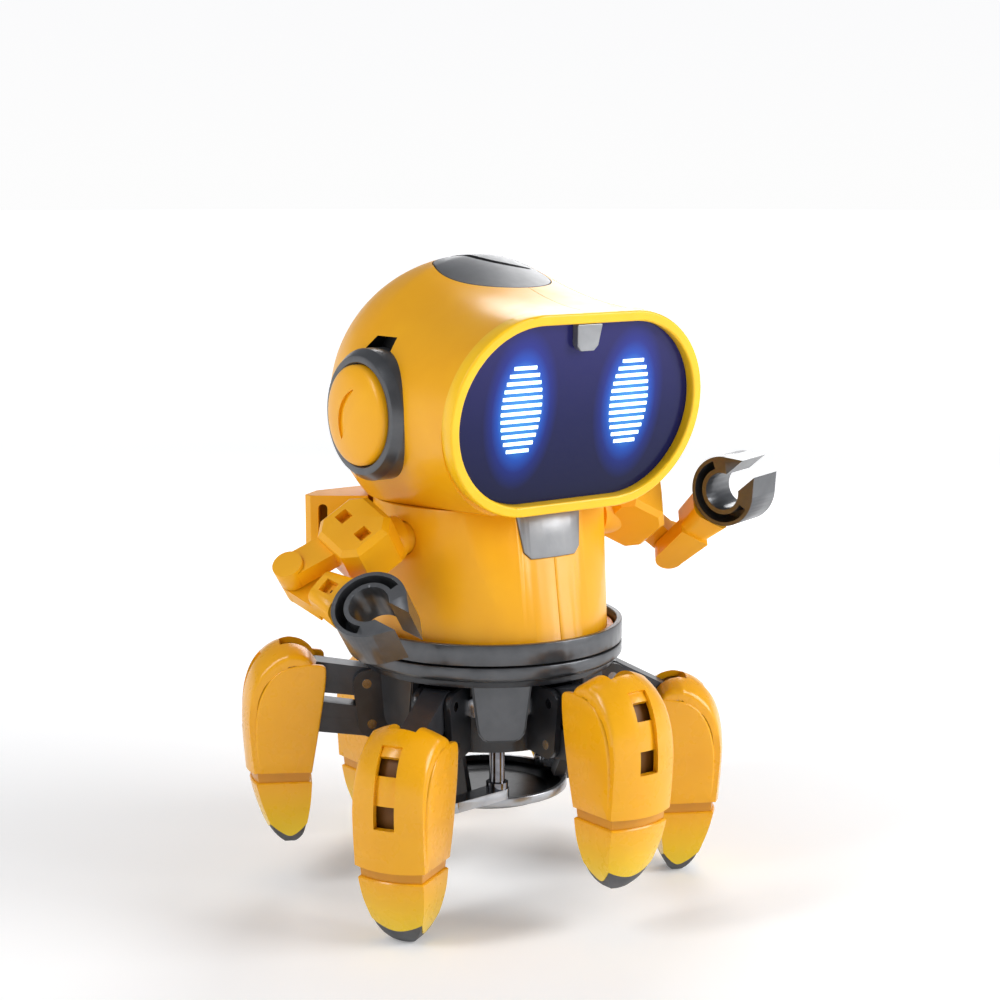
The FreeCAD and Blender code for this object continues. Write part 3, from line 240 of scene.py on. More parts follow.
def dish_material():
    """Silver-plated outer wall and rim, black inside."""
    material = moulded("dish_finish", (0.40, 0.41, 0.43), (0.47, 0.48, 0.50), 0.30, metallic=0.85,
                       mottle=150.0)
    tree = material.node_tree
    shader = tree.nodes["Principled BSDF"]
    plated = shader.inputs["Base Color"].links[0].from_socket
    place = tree.nodes.new("ShaderNodeTexCoord").outputs["Object"]
    flat = tree.nodes.new("ShaderNodeVectorMath")
    flat.operation = "MULTIPLY"
    flat.inputs[1].default_value = (1.0, 1.0, 0.0)
    tree.links.new(place, flat.inputs[0])
    reach = tree.nodes.new("ShaderNodeVectorMath")
    reach.operation = "LENGTH"
    tree.links.new(flat.outputs["Vector"], reach.inputs[0])
    edge = tree.nodes.new("ShaderNodeMapRange")
    edge.inputs["From Min"].default_value = DISH_INSIDE
    edge.inputs["From Max"].default_value = DISH_RIM
    tree.links.new(reach.outputs["Value"], edge.inputs["Value"])
    mix = tree.nodes.new("ShaderNodeMix")
    mix.data_type = "RGBA"
    mix.inputs[6].default_value = (0.012, 0.012, 0.013, 1.0)
    tree.links.new(edge.outputs["Result"], mix.inputs["Factor"])
    tree.links.new(plated, mix.inputs[7])
    tree.links.new(mix.outputs[2], shader.inputs["Base Color"])
    return material


dish_look = dish_material()

LOOKS = {"shell_yellow": shell_look, "trim_gray": gray_look, "frame_dark": dark_look,
         "steel": steel_look, "arm_silver": silver_look, "toe_rubber": rubber_look,
         "screen_glass": window_look, "eye_light": bars_look, "sensor_gray": gray_look,
         "cell_wrap": cell_look, "black_plastic": black_and_shade_look, "board_green": board_look,
         "gear_white": nylon_look}


def dress(node, look, width=0.3, angle=32.0):
    """Gives a CAD node its finish and softens its moulded edges."""
    thing = frame["nodes"][node]
    if not thing.material_slots:
        thing.data.materials.append(look)
    for slot in thing.material_slots:
        slot.material = look
    if width:
        weld = thing.modifiers.new("weld", "WELD")
        weld.merge_threshold = 1e-6
        soft = thing.modifiers.new("soft_edges", "BEVEL")
        soft.width, soft.segments = width * MM, 2
        soft.limit_method, soft.angle_limit = "ANGLE", math.radians(angle)
        soft.harden_normals = True
    return thing


# widths of the softened edges where they aren't the usual ones
WIDTHS = {"eye_bars": 0.0, "battery_cells": 0.0, "hub_pins": 0.15, "face_screen": 0.0,
          "nose_sensor": 0.4, "hand_right": 0.28, "hand_left": 0.28, "crank_gear": 0.0,
          "motor_pinion": 0.0, "guide_posts": 0.0, "dish_arms": 0.25, "back_yoke": 1.1}
# nodes whose finish isn't their slot's, by the start of their name
SPECIAL_LOOKS = {"upper_link": link_look, "lower_link": link_look, "face_bezel": bezel_look,
                 "leg_shell": leg_look, "lower_dish": dish_look, "chin_plate": plate_look,
                 "nose_sensor": plate_look}
for entry in frame["record"]["subparts"]:
    node = entry["node"]
    special = [look for start, look in SPECIAL_LOOKS.items() if node.startswith(start)]
    dress(node, special[0] if special else LOOKS[entry["material_slot"]], WIDTHS.get(node, 0.3))


# ---- mesh helpers --------------------------------------------------------------------------

def finish_piece(name, mesh, look, body, replaces=(), sharp=35.0, place=None):
    """A smooth-shaded piece, with edges kept crisp above an angle, riding on a body."""
    bm = bmesh.new()
    bm.from_mesh(mesh)
    bmesh.ops.recalc_face_normals(bm, faces=bm.faces)
    for face in bm.faces:
        face.smooth = True
    for edge in bm.edges:
        edge.smooth = not (edge.is_manifold and edge.calc_face_angle(0.0) > math.radians(sharp))
    bm.to_mesh(mesh)
    bm.free()
    if not mesh.materials:
        mesh.materials.append(look)
    piece = bpy.data.objects.new(name, mesh)
    bpy.context.scene.collection.objects.link(piece)
    if place is not None:
        piece.matrix_world = place
        bpy.context.view_layer.update()
    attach(piece, body)
    if replaces:
        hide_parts(*replaces)
    return piece


def boolean(mesh, cutter, operation="DIFFERENCE"):
    """The mesh of one solid cut by, or kept inside, another."""
    first = bpy.data.objects.new("first", mesh)
    second = bpy.data.objects.new("second", cutter)
    for thing in (first, second):
        bpy.context.scene.collection.objects.link(thing)
    cut = first.modifiers.new("cut", "BOOLEAN")
    cut.operation, cut.object, cut.solver = operation, second, "EXACT"
    cut.material_mode = "TRANSFER"
    cut.use_self = True
    bpy.context.view_layer.update()
    result = bpy.data.meshes.new_from_object(
        first.evaluated_get(bpy.context.evaluated_depsgraph_get()))
    for thing in (first, second):
        bpy.data.objects.remove(thing)
    return result


def tinted(mesh, look):
    """The mesh with one material."""
    mesh.materials.clear()
    mesh.materials.append(look)
    return mesh


def rod_mesh(radius, start, end, sides=96):
    """A closed cylinder between two points in millimetres."""
    start, end = Vector(start), Vector(end)
    bm = bmesh.new()
    turn = (end - start).to_track_quat("Z", "Y").to_matrix().to_4x4()
    bmesh.ops.create_cone(bm, cap_ends=True, segments=sides, radius1=radius * MM,
                          radius2=radius * MM, depth=(end - start).length * MM,
                          matrix=Matrix.Translation((start + end) / 2 * MM) @ turn)
    mesh = bpy.data.meshes.new("rod")
    bm.to_mesh(mesh)
    bm.free()
    mesh.materials.append(shell_look)
    return mesh


def solid_mesh(points, faces):
    """A mesh from points in millimetres, with its faces turned outward."""
    mesh = bpy.data.meshes.new("solid")
    mesh.from_pydata([Vector(p) * MM for p in points], [], faces)
    bm = bmesh.new()
    bm.from_mesh(mesh)
    bmesh.ops.recalc_face_normals(bm, faces=bm.faces)
    bm.to_mesh(mesh)
    bm.free()
    return mesh


def turned_mesh(profile, sides=48):
    """A closed turned piece about Z from (radius, height) points in millimetres."""
    points, faces, count = [], [], len(profile)
    for k in range(sides):
        turn = 2 * math.pi * k / sides
        points += [(r * math.cos(turn), r * math.sin(turn), z) for r, z in profile]
    for k in range(sides):
        here, there = k * count, (k + 1) % sides * count
        faces += [(here + i, here + i + 1, there + i + 1, there + i) for i in range(count - 1)]
    faces.append(tuple(k * count for k in range(sides)))
    faces.append(tuple(k * count + count - 1 for k in range(sides)))
    return solid_mesh(points, faces)


def loft(levels):
    """A closed mesh through rings of equal length, capped at both ends."""
    count = len(levels[0])
    points = [point for level in levels for point in level]
    faces = []
    for row in range(len(levels) - 1):
        for k in range(count):
            a, b = row * count + k, row * count + (k + 1) % count
            faces.append((a, b, b + count, a + count))
    for start in (0, (len(levels) - 1) * count):
        ring = points[start:start + count]
        points.append(tuple(sum(axis) / count for axis in zip(*ring)))
        faces += [(start + k, start + (k + 1) % count, len(points) - 1) for k in range(count)]
    return solid_mesh(points, faces)


def mirrored(mesh):
    """A copy of the mesh on the other side of the XZ plane."""
    other = mesh.copy()
    other.transform(Matrix.Scale(-1, 4, (0, 1, 0)))
    other.flip_normals()
    return other


def joined(meshes):
    """One mesh holding several separate closed solids."""
    bm = bmesh.new()
    for mesh in meshes:
        bm.from_mesh(mesh)
    out = bpy.data.meshes.new("joined")
    bm.to_mesh(out)
    bm.free()
    return out


# ---- head ----------------------------------------------------------------------------------

def stadium_reach(angle, half_width, half_height):
    """Distance from the middle of a stadium to its outline in a direction."""
    sine, cosine = abs(math.sin(angle)), abs(math.cos(angle))
    straight = half_width - half_height
    if sine > 1e-9 and half_height * cosine / sine <= straight:
        return half_height / sine
    return straight * cosine + math.sqrt(half_height ** 2 - (straight * sine) ** 2)


def head_point(fraction, angle):
    """A point of the head's outer surface: fraction -1 is the back pole and 1 the face."""
    if fraction < 0:
        turn = -fraction * math.pi / 2
        shrink, y, blend, lean = math.cos(turn), HEAD_Y + HEAD_BACK * math.sin(turn), 0.0, 0.0
    else:
        shrink, y = 1.0, HEAD_Y - fraction * HEAD_FRONT
        blend = math.sin(math.pi / 2 * fraction) ** 1.2
        lean = math.tan(FACE_TILT) * fraction ** 2
    around = 1 / math.hypot(math.cos(angle) / HEAD_HALF_WIDTH, math.sin(angle) / HEAD_HALF_HEIGHT)
    face = stadium_reach(angle, FACE_HALF_WIDTH, FACE_HALF_HEIGHT)
    span = shrink * (around + blend * (face - around))
    x, z = span * math.cos(angle), span * math.sin(angle)
    return Vector((x, y - z * lean, HEAD_Z + z))


def head_mesh():
    """The whole closed head, cut flat below and behind the bezel."""
    rows, around = [-1 + k / 44 for k in range(1, 44)] + [k / 52 for k in range(53)], 168
    points = [head_point(-1.0, 0.0)]
    for fraction in rows:
        points += [head_point(fraction, 2 * math.pi * k / around) for k in range(around)]
    faces = [(0, 1 + (k + 1) % around, 1 + k) for k in range(around)]
    for row in range(len(rows) - 1):
        base = 1 + row * around
        for k in range(around):
            other = (k + 1) % around
            faces.append((base + k, base + other, base + around + other, base + around + k))
    last = 1 + (len(rows) - 1) * around
    faces.append(tuple(range(last, last + around)))
    mesh = bpy.data.meshes.new("head")
    mesh.from_pydata([p * MM for p in points], [], faces)
    bm = bmesh.new()
    bm.from_mesh(mesh)
    cuts = [(Vector((0, 0, HEAD_LOW)), Vector((0, 0, -1))),
            (FACE_POINT + FACE_NORMAL * BEZEL_DEPTH, -FACE_NORMAL)]
    for spot, outward in cuts:
        everything = bm.verts[:] + bm.edges[:] + bm.faces[:]
        cut = bmesh.ops.bisect_plane(bm, geom=everything, plane_co=spot * MM, plane_no=outward,
                                     clear_outer=True)
        rim = [item for item in cut["geom_cut"] if isinstance(item, bmesh.types.BMEdge)]
        bmesh.ops.contextual_create(bm, geom=rim)
    bmesh.ops.recalc_face_normals(bm, faces=bm.faces)
    bm.to_mesh(mesh)
    bm.free()
    return mesh


def cap_height(x, y):
    """Height of the head's top round the cap, close enough to set the slit's depth."""
    return 199.0 - (0.3 * (5.0 - y) if y < 5.0 else 0.011 * (y - 5.0) ** 2) - 0.011 * x * x


def cap_slit():
    """Cutter for the dark curved slit in the head's cap; its black cut faces are painted shade."""
    centre_x, centre_y, radius, half_width, depth, above = 9.0, 11.0, 15.0, 1.15, 1.4, 204.0
    first, sweep, steps = 175, 115, 32
    levels = []
    for k in range(steps + 1):
        angle = math.radians(first + sweep * k / steps)
        half = half_width * math.sqrt(max(0.03, 1 - (2 * k / steps - 1) ** 4))
        near, far, ring = radius - half, radius + half, []
        for reach, top in ((near, False), (far, False), (far, True), (near, True)):
            x, y = centre_x + reach * math.cos(angle), centre_y + reach * math.sin(angle)
            ring.append((x, y, above if top else cap_height(x, y) - depth))
        levels.append(ring)
    return tinted(loft(levels), black_and_shade_look)


def ear_notch(side):
    """Cutter for the dark notch in the head above an ear; its black cut faces are painted shade."""
    outline = [(-8.3, 171.0), (5.6, 171.0), (1.2, 175.9), (-8.3, 175.9)]
    levels = [[(side * x, y, z) for y, z in outline] for x in (36.5, 47.0)]
    return tinted(loft(levels), black_and_shade_look)


def build_head():
    """The head in two halves, and the cap that is pressed as a button."""
    cap_low, cap_high = (*CAP_CENTRE, 165.0), (*CAP_CENTRE, 225.0)
    seam = 0.11
    whole = head_mesh()
    whole.materials.append(shell_look)
    cap = boolean(whole.copy(), rod_mesh(CAP_RADIUS, cap_low, cap_high), "INTERSECT")
    cap = boolean(tinted(cap, cap_look), cap_slit())
    for side in (-1, 1):
        whole = boolean(whole, ear_notch(side))
    shell = boolean(whole, rod_mesh(CAP_RADIUS + CAP_GAP, cap_low, cap_high))
    for side, name in ((-1, "right"), (1, "left")):
        half = shell.copy()
        bm = bmesh.new()
        bm.from_mesh(half)
        everything = bm.verts[:] + bm.edges[:] + bm.faces[:]
        cut = bmesh.ops.bisect_plane(bm, geom=everything, plane_co=(side * seam * MM, 0, 0),
                                     plane_no=(-side, 0, 0), clear_outer=True)
        rim = [item for item in cut["geom_cut"] if isinstance(item, bmesh.types.BMEdge)]
        bmesh.ops.holes_fill(bm, edges=rim)
        bm.to_mesh(half)
        bm.free()
        finish_piece("head_cover_" + name, half, shell_look, "torso",
                     ["head_shell_" + name])
    finish_piece("head_cap", cap, cap_look, "button", ["top_button"])


def ear_frame(side):
    """Turns a piece made about Z so that it faces out from one side of the head."""
    turn = Matrix.Rotation(side * math.pi / 2, 4, "Y")
    return Matrix.Translation(Vector((0, EAR_Y, EAR_Z)) * MM) @ turn


def ear_groove(side):
    """Cutter for the crescent on an ear's dome, narrow above, in the frame of the turned dome."""
    levels, steps, radius, floor, above = [], 28, 11.2, 52.45, 56.0
    for k in range(steps + 1):
        share = k / steps
        angle = math.radians(side * (48 - 96 * share))
        half = 0.28 + 1.75 * math.sqrt(1 - share) * min(1.0, share / 0.14) ** 0.5
        ring = []
        inside = radius - 1.6 * half
        for reach, height in ((inside, floor + 0.6), (radius, floor), (radius, above),
                              (inside, above)):
            ring.append((reach * math.sin(angle), reach * math.cos(angle) - 6.4, height))
        levels.append(ring)
    cutter = tinted(loft(levels), shell_look)
    cutter.transform(Matrix.Rotation(side * math.radians(23), 4, "Z"))
    return cutter


def build_ears():
    """The ear rings and the domes in them, turned about the ears' axes."""
    ring_profile = [(16.5, 40.0), (19.3, 40.0), (19.7, 40.4), (19.7, 46.5), (19.5, 47.1),
                    (17.75, 49.35), (17.4, 49.5), (15.75, 49.5), (15.45, 49.25), (15.45, 46.4)]
    dome_profile = [(15.0, 46.6), (15.0, 50.0), (14.85, 50.6), (14.4, 51.15), (13.6, 51.6),
                    (11.6, 52.25), (9.0, 52.85), (6.0, 53.3), (3.0, 53.55), (0.6, 53.6)]
    rings, domes = [], []
    for side in (-1, 1):
        ring = turned_mesh(ring_profile, 96)
        ring.transform(ear_frame(side))
        rings.append(ring)
        dome = boolean(tinted(turned_mesh(dome_profile, 96), shell_look), ear_groove(side))
        dome.transform(ear_frame(side))
        domes.append(dome)
    finish_piece("ear_cups", joined(rings), gray_look, "torso", ["ear_rings"],
                 sharp=24.0)
    finish_piece("ear_caps", joined(domes), shell_look, "torso", ["ear_domes"])


build_head()
build_ears()


# ---- hub -----------------------------------------------------------------------------------

def skirt_panel(angle):
    """A rounded, tapered skirt panel that covers the hub's plain one."""
    outline = [(-9.25, 72.0), (-7.4, 58.0), (-6.9, 56.2), (-5.6, 54.6), (-3.9, 54.0)]
    outline += [(-y, z) for y, z in reversed(outline)]
    inner, outer = 33.0, 35.45
    points = [(x, y, z) for x in (inner, outer) for y, z in outline]
    count = len(outline)
    faces = [tuple(range(count)), tuple(range(count, 2 * count))]
    faces += [(k, (k + 1) % count, count + (k + 1) % count, count + k) for k in range(count)]
    mesh = solid_mesh(points, faces)
    bm = bmesh.new()
    bm.from_mesh(mesh)
    rim = [edge for edge in bm.edges if all(vert.co.x > 0.0352 for vert in edge.verts)]
    bmesh.ops.bevel(bm, geom=rim, offset=0.6 * MM, segments=3, affect="EDGES", clamp_overlap=True)
    bm.to_mesh(mesh)
    bm.free()
    mesh.transform(Matrix.Rotation(math.radians(angle), 4, "Z"))
    return mesh


def build_hub():
    """The hub's skirt panels, and the ringed bosses in the bays between the legs."""
    panels = [skirt_panel(angle + 30) for angle, _ in LEGS.values()]
    finish_piece("skirt_panels", joined(panels), gray_look, "base")
    bosses, rims = [], []
    for angle, _ in LEGS.values():
        for side in (-1, 1):
            turn = math.radians(angle + side * 15.5)
            out = Vector((math.cos(turn), math.sin(turn), 0))
            spot = Matrix.Translation((out * 29.2 + Vector((0, 0, 63.5))) * MM)
            face = spot @ out.to_track_quat("Z", "Y").to_matrix().to_4x4()
            boss = turned_mesh([(2.6, -1.0), (2.6, 1.4), (2.3, 1.7), (1.2, 1.7), (1.0, 1.3)], 32)
            ring = turned_mesh([(2.75, 1.0), (3.05, 1.2), (3.05, 1.6), (2.75, 1.8)], 32)
            boss.transform(face)
            ring.transform(face)
            bosses.append(boss)
            rims.append(ring)
    finish_piece("bay_bosses", joined(bosses), black_and_shade_look, "base")
    finish_piece("bay_boss_rims", joined(rims), silver_look, "base")


# ---- legs ----------------------------------------------------------------------------------

def through(points, steps):
    """A Catmull-Rom curve through the points, as an open list."""
    padded = [points[0], *points, points[-1]]
    out = []
    for p0, p1, p2, p3 in zip(padded, padded[1:], padded[2:], padded[3:]):
        for k in range(steps):
            t = k / steps
            out.append(tuple(0.5 * (2 * b + (c - a) * t + (2 * a - 5 * b + 4 * c - d) * t * t
                                    + (3 * b - a - 3 * c + d) * t ** 3)
                             for a, b, c, d in zip(p0, p1, p2, p3)))
    return out + [points[-1]]


def between(table, value):
    """The value of a table of (place, value) pairs at a place."""
    for (a, first), (b, second) in zip(table, table[1:]):
        if value <= b:
            return first + (second - first) * max(0.0, (value - a) / (b - a))
    return table[-1][1]


# a lowered leg in its own vertical plane: outlines are (reach, height) and widths are
# (height, half width); the foot's outer and inner faces are (height, reach)
TABLE_STEPS = 5
CHEEK_SIDE = [(54.0, 24.7), (51.8, 37.7), (49.8, 50.0), (49.2, 56.6), (49.7, 58.4), (51.4, 59.0),
              (56.5, 59.2), (62.5, 58.4), (67.6, 55.8), (71.4, 50.6), (73.4, 43.5), (73.8, 35.5),
              (73.2, 24.7)]
WALL_PATH = [(74.6, 24.7), (75.4, 35.5), (75.6, 43.5), (74.6, 51.6), (72.0, 58.2), (67.6, 62.9),
             (62.2, 65.2), (57.6, 64.8), (54.2, 62.6), (51.8, 59.0)]
SHELL_WIDTH = through([(24.7, 11.2), (34.0, 11.7), (46.0, 11.9), (56.0, 11.8), (62.0, 11.4)],
                      TABLE_STEPS)
FOOT_OUTER = through([(0.0, 63.3), (0.4, 63.8), (1.0, 64.5), (2.0, 65.6), (3.3, 66.7),
                      (5.6, 68.2), (9.2, 69.9), (15.0, 71.9), (21.7, 73.6)], TABLE_STEPS)
FOOT_INNER = through([(0.0, 59.6), (0.4, 59.1), (1.0, 58.4), (2.0, 57.6), (3.3, 56.8),
                      (5.6, 56.1), (9.2, 55.4), (15.0, 54.5), (21.7, 54.0)], TABLE_STEPS)
FOOT_WIDTH = through([(0.0, 3.0), (0.4, 3.7), (1.0, 4.4), (2.0, 5.3), (3.3, 6.2), (5.6, 7.4),
                      (9.2, 8.7), (15.0, 10.0), (21.7, 10.6)], TABLE_STEPS)
WALL_HALF, CHANNEL_HALF, SLOT_HALF, FRONT_SAG, DOME_SAG = 11.3, 3.3, 4.6, 2.8, 3.4
# the channel between the two windows and the slot: (lowest, highest, recess) of each strip
CHANNEL_STRIPS = ((24.0, 38.4, 0.0), (43.6, 53.6, 1.4), (58.8, 61.4, 0.9))
CREST_LOW, SLOT_REACH, SLOT_LOW = 61.2, 62.9, 53.0
FOOT_SIDE = 12


def outward_normals(path):
    """Unit normals to the left of each step of a path."""
    out = []
    for k in range(len(path)):
        before, after = path[max(k - 1, 0)], path[min(k + 1, len(path) - 1)]
        dx, dz = after[0] - before[0], after[1] - before[1]
        length = math.hypot(dx, dz) or 1.0
        out.append((dz / length, -dx / length))
    return out


def wall_mesh(path, low, high, thick=2.0, recess=0.0, columns=10):
    """A crowned wall that follows a path up the leg's outer face and over its top."""
    normals, count = outward_normals(path), len(path)
    points = []
    for column in range(columns + 1):
        y = low + (high - low) * math.sin(math.pi / 2 * column / columns)
        for (x, z), (nx, nz) in zip(path, normals):
            outward, upward = max(nx, 0.0), max(nz, 0.0)
            near = max(0.0, abs(y) - (WALL_HALF - 1.2)) / 1.2
            inset = recess + FRONT_SAG * outward * (y / between(SHELL_WIDTH, z)) ** 2
            inset += DOME_SAG * upward ** 1.3 * (y / WALL_HALF) ** 2
            inset += 1.2 * (1 - math.sqrt(max(0.0, 1 - near ** 2))) * min(1.0, 1.6 * upward)
            for depth in (inset, inset + thick):
                points.append((x - nx * depth, y, z - nz * depth))
    faces, row = [], 2 * count
    for column in range(columns):
        for k in range(count - 1):
            for side in (0, 1):
                a = column * row + 2 * k + side
                faces.append((a, a + 2, a + 2 + row, a + row))
        for end in (0, 2 * (count - 1)):
            a = column * row + end
            faces.append((a, a + 1, a + 1 + row, a + row))
    for start in (0, columns * row):
        for k in range(count - 1):
            a = start + 2 * k
            faces.append((a, a + 1, a + 3, a + 2))
    return solid_mesh(points, faces)


def block_mesh(side, widths, low, edge=0.8, columns=14, steps=8):
    """A block from a plane near the leg's middle out to its flat cheek, crowned in front."""
    outline = through(side, steps)
    normals, count = outward_normals(outline[::-1])[::-1], len(outline)
    points = []
    for column in range(columns + 1):
        share = math.sin(math.pi / 2 * column / columns)
        for (x, z), (nx, nz) in zip(outline, normals):
            half = between(widths, z)
            y = low + (half - low) * share
            near = max(0.0, y - (half - edge)) / edge
            inset = edge * (1 - math.sqrt(max(0.0, 1 - near ** 2)))
            inset += FRONT_SAG * max(nx, 0.0) * (y / half) ** 2
            points.append((x - nx * inset, y, z - nz * inset))
    faces = []
    for column in range(columns):
        for k in range(count):
            a, b = column * count + k, column * count + (k + 1) % count
            faces.append((a, b, b + count, a + count))
    middle_x = (min(x for x, z in outline) + max(x for x, z in outline)) / 2
    middle_z = (min(z for x, z in outline) + max(z for x, z in outline)) / 2

    for start, height in ((0, lambda z: low), (columns * count, lambda z: between(widths, z))):
        ring = list(range(start, start + count))
        for share in (0.72, 0.45, 0.2):
            fresh = []
            for index in range(count):
                x, _, z = points[start + index]
                x, z = middle_x + (x - middle_x) * share, middle_z + (z - middle_z) * share
                fresh.append(len(points))
                points.append((x, height(z), z))
            for k in range(count):
                other = (k + 1) % count
                faces.append((ring[k], ring[other], fresh[other], fresh[k]))
            ring = fresh
        points.append((middle_x, height(middle_z), middle_z))
        faces.extend((ring[k], ring[(k + 1) % count], len(points) - 1) for k in range(count))
    return solid_mesh(points, faces)


def leg_meshes():
    """The shell of a lowered leg: cheeks, crowned wall with its slot, and the channel's strips."""
    path = through(WALL_PATH, 8)
    before_slot = [p for p in path if not (p[0] < SLOT_REACH and p[1] > SLOT_LOW)]
    wall = [wall_mesh(before_slot, CHANNEL_HALF, SLOT_HALF, columns=4),
            wall_mesh(path, SLOT_HALF, WALL_HALF)]
    cheek = block_mesh(CHEEK_SIDE, SHELL_WIDTH, 10.0, edge=0.5)
    strips = [wall_mesh([p for p in before_slot if low <= p[1] <= high],
                        -CHANNEL_HALF, CHANNEL_HALF, recess=depth, columns=6)
              for low, high, depth in CHANNEL_STRIPS]
    crest = [p for p in before_slot if p[1] >= CREST_LOW]
    strips.append(wall_mesh(crest, -CHANNEL_HALF, CHANNEL_HALF, columns=6))
    sides = wall + [cheek]
    return joined(sides + [mirrored(mesh) for mesh in sides] + strips)


def foot_ring(height, inset):
    """One level of the foot: (x, y, share) round its front, cheek, back and other cheek.

    The share is how far the point is along its own side, from 0 up to 1.
    """
    half = between(FOOT_WIDTH, height) - inset
    inner, outer = between(FOOT_INNER, height) + inset, between(FOOT_OUTER, height) - inset
    sag = min(2.2, 0.24 * half)
    corner, shares = outer - sag, [k / FOOT_SIDE for k in range(FOOT_SIDE)]
    front = [(outer - sag * (2 * share - 1) ** 2, half * (2 * share - 1), share)
             for share in shares]
    cheek = [(corner + (inner - corner) * share, half, share) for share in shares]
    back = [(inner, half * (1 - 2 * share), share) for share in shares]
    other = [(inner + (corner - inner) * share, -half, share) for share in shares]
    return front + cheek + back + other


def foot_edge(index, share):
    """Height of the yellow foot's lower edge: a lobe on each face, deepest on the cheeks."""
    lobe = math.sin(math.pi * share) ** 0.8
    return 7.6 - (4.9 if (index // FOOT_SIDE) % 2 else 2.7) * lobe


def level_at(height, inset):
    """A ring whose height is a number, or worked out from each point's place in the ring."""
    ring = []
    for index, (_, _, share) in enumerate(foot_ring(10.0, 0.0)):
        z = height(index, share) if callable(height) else height
        x, y, _ = foot_ring(z, inset)[index]
        ring.append((x, y, z))
    return ring


def foot_meshes():
    """The yellow cup of a foot, the dark toe nested in it, and the narrow neck above."""
    def blend(share):
        return lambda index, place: 20.9 + (foot_edge(index, place) - 20.9) * share

    cup = [level_at(21.6, 1.0), level_at(21.5, 0.35), level_at(21.1, 0.0)]
    cup += [level_at(blend(k / 12), 0.0) for k in range(13)]
    cup += [level_at(foot_edge, 0.9), level_at(10.4, 1.2)]

    def toe_top(index, share):
        return foot_edge(index, share) - 0.12

    def toe_side(share):
        return lambda index, place: 0.5 + (toe_top(index, place) - 0.5) * share

    toe = [level_at(0.06, 0.9), level_at(0.2, 0.35)]
    toe += [level_at(toe_side(k / 6), 0.25) for k in range(7)]
    toe += [level_at(toe_top, 1.1), level_at(10.2, 1.4)]
    neck = [level_at(21.2, 0.75), level_at(24.4, 0.55), level_at(25.2, 0.55)]
    return loft(cup), loft(toe), loft(neck)


def leg_shade_sheet():
    """The dark inner wall seen through a leg's two windows: a sheet of painted shade, where the
    shell's inside lies in shade.
    """
    path = [p for p in through(WALL_PATH, 8) if p[0] > 67.0]
    return wall_mesh(path, -7.0, 7.0, thick=0.8, recess=3.4, columns=6)


def build_legs():
    """Six legs from the same meshes, each turned to its place and lifted if it is raised."""
    shell, shade_sheet = leg_meshes(), leg_shade_sheet()
    foot, toe, neck = foot_meshes()
    outward = LINK * (math.cos(RAISED) - math.cos(LOWERED))
    upward = LINK * (math.sin(RAISED) - math.sin(LOWERED))
    for name, (angle, raised) in LEGS.items():
        move = Matrix.Rotation(math.radians(angle), 4, "Z")
        if raised:
            move = move @ Matrix.Translation(Vector((outward, 0, upward)) * MM)
        parts = [("leg_cover", shell, leg_look, "shell_yellow"),
                 ("leg_foot", foot, leg_look, "shell_yellow"),
                 # a dark sheet of painted shade inside each leg, behind its windows
                 ("leg_shade_sheet", shade_sheet, shade_inside_look, "shell_yellow"),
                 ("leg_neck", neck, neck_shade_look, "shell_yellow"),
                 ("leg_toe", toe, rubber_look, "toe_rubber")]
        for kind, mesh, look, slot in parts:
            replaced = {"leg_cover": ["leg_shell_" + name], "leg_toe": ["toe_" + name]}
            finish_piece(kind + "_" + name, mesh, look, "leg_" + name,
                         replaced.get(kind, []), place=move)


build_hub()
build_legs()


# ---- floor, lights and camera --------------------------------------------------------------

def build_floor():
    """A round pale floor with a painted glow that grows brighter away from the object."""
    radius, sides = 12, 96
    mesh = bpy.data.meshes.new("floor")
    turns = [2 * math.pi * k / sides for k in range(sides)]
    ring = [(math.cos(turn) * radius, math.sin(turn) * radius, 0.0) for turn in turns]
    mesh.from_pydata(ring, [], [tuple(range(sides))])
    look, tree, shader = new_material("pale_floor")
    place = tree.nodes.new("ShaderNodeTexCoord").outputs["Object"]
    noise = add_node(tree, "ShaderNodeTexNoise", Scale=3.0)
    tree.links.new(place, noise.inputs["Vector"])
    pale = ramp(tree, noise.outputs["Fac"], [(0.3, gray(0.84)), (0.7, gray(0.86))])
    tree.links.new(pale, shader.inputs["Base Color"])
    shader.inputs["Roughness"].default_value = 0.7
    # painted light: the floor glows dimly near the object and brightly far off
    reach = tree.nodes.new("ShaderNodeVectorMath")
    reach.operation = "LENGTH"
    tree.links.new(place, reach.inputs[0])
    far = tree.nodes.new("ShaderNodeMapRange")
    far.inputs["From Min"].default_value, far.inputs["From Max"].default_value = 0.1, 1.6
    tree.links.new(reach.outputs["Value"], far.inputs["Value"])
    painted_floor_glow = ramp(tree, far.outputs["Result"],
                [(0.0, gray(0.20)), (0.3, gray(0.55)), (1.0, gray(0.85))])
    tree.links.new(painted_floor_glow, shader.inputs["Emission Color"])
    shader.inputs["Emission Strength"].default_value = 1.0
    mesh.materials.append(look)
    floor = bpy.data.objects.new("floor", mesh)
    bpy.context.scene.collection.objects.link(floor)


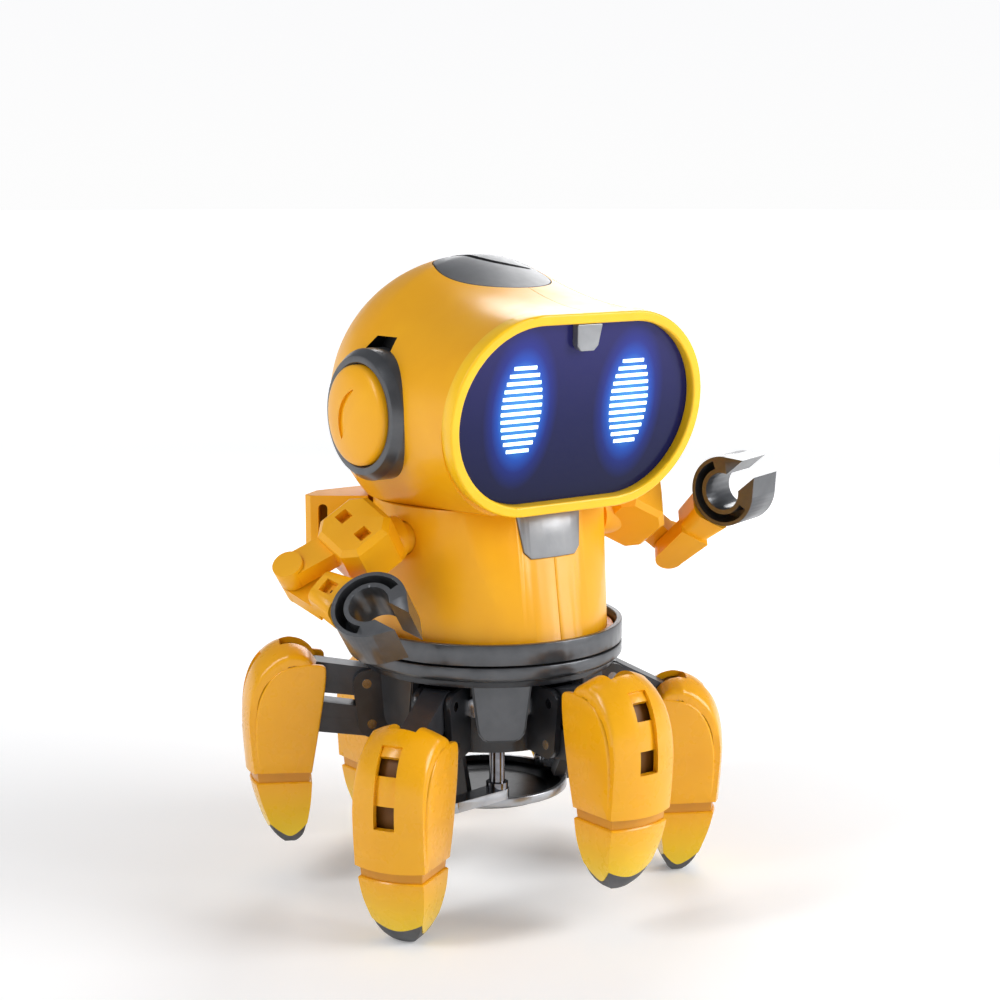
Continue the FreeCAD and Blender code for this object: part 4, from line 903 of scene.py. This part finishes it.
def build_world():
    """A sky that is white at the horizon and dim above."""
    world = bpy.data.worlds.new("studio")
    bpy.context.scene.world = world
    world.use_nodes = True
    back = world.node_tree.nodes["Background"]
    tree = world.node_tree
    parts = tree.nodes.new("ShaderNodeSeparateXYZ")
    tree.links.new(tree.nodes.new("ShaderNodeTexCoord").outputs["Generated"], parts.inputs[0])
    sky = ramp(tree, parts.outputs["Z"], [(0.0, (0.98, 0.98, 0.98)), (0.10, (0.96, 0.96, 0.97)),
                                          (0.22, (0.27, 0.28, 0.30)), (1.0, (0.22, 0.23, 0.25))])
    tree.links.new(sky, back.inputs["Color"])
    back.inputs["Strength"].default_value = 1.0


def soft_light(name, spot, target, size, power):
    """A white area light at a spot, in metres, turned to a target."""
    lamp = bpy.data.lights.new(name, "AREA")
    lamp.shape, lamp.size, lamp.size_y = "RECTANGLE", size[0], size[1]
    lamp.energy = power
    thing = bpy.data.objects.new(name, lamp)
    thing.location = spot
    thing.rotation_euler = (Vector(target) - Vector(spot)).to_track_quat("-Z", "Y").to_euler()
    bpy.context.scene.collection.objects.link(thing)


def build_camera():
    """The camera, in metres, at the angle from which the object was pictured."""
    place, focal_length, sensor = (-0.3701, -0.5005, 0.2237), 72.4, 36.0
    right = Vector((0.80053, -0.59929, 0.0)).normalized()
    back = Vector((-0.59147, -0.79019, 0.16052)).normalized()
    above = back.cross(right).normalized()
    lens = bpy.data.cameras.new("camera")
    lens.lens, lens.sensor_width, lens.clip_start = focal_length, sensor, 0.01
    camera = bpy.data.objects.new("camera", lens)
    turn = Matrix((right, above, back)).transposed().to_4x4()
    camera.matrix_world = Matrix.Translation(place) @ turn
    bpy.context.scene.collection.objects.link(camera)
    bpy.context.scene.camera = camera


build_floor()
build_world()
soft_light("key", (0.52, -0.68, 0.50), (0, 0, 0.11), (0.50, 0.50), 6.4)
soft_light("left_fill", (-0.62, 0.02, 0.62), (0, 0, 0.13), (0.16, 0.50), 2.4)
soft_light("rim", (0.50, 0.50, 0.50), (0, 0, 0.12), (0.4, 0.4), 2.2)
build_camera()
bpy.context.scene.view_settings.view_transform = "Standard"
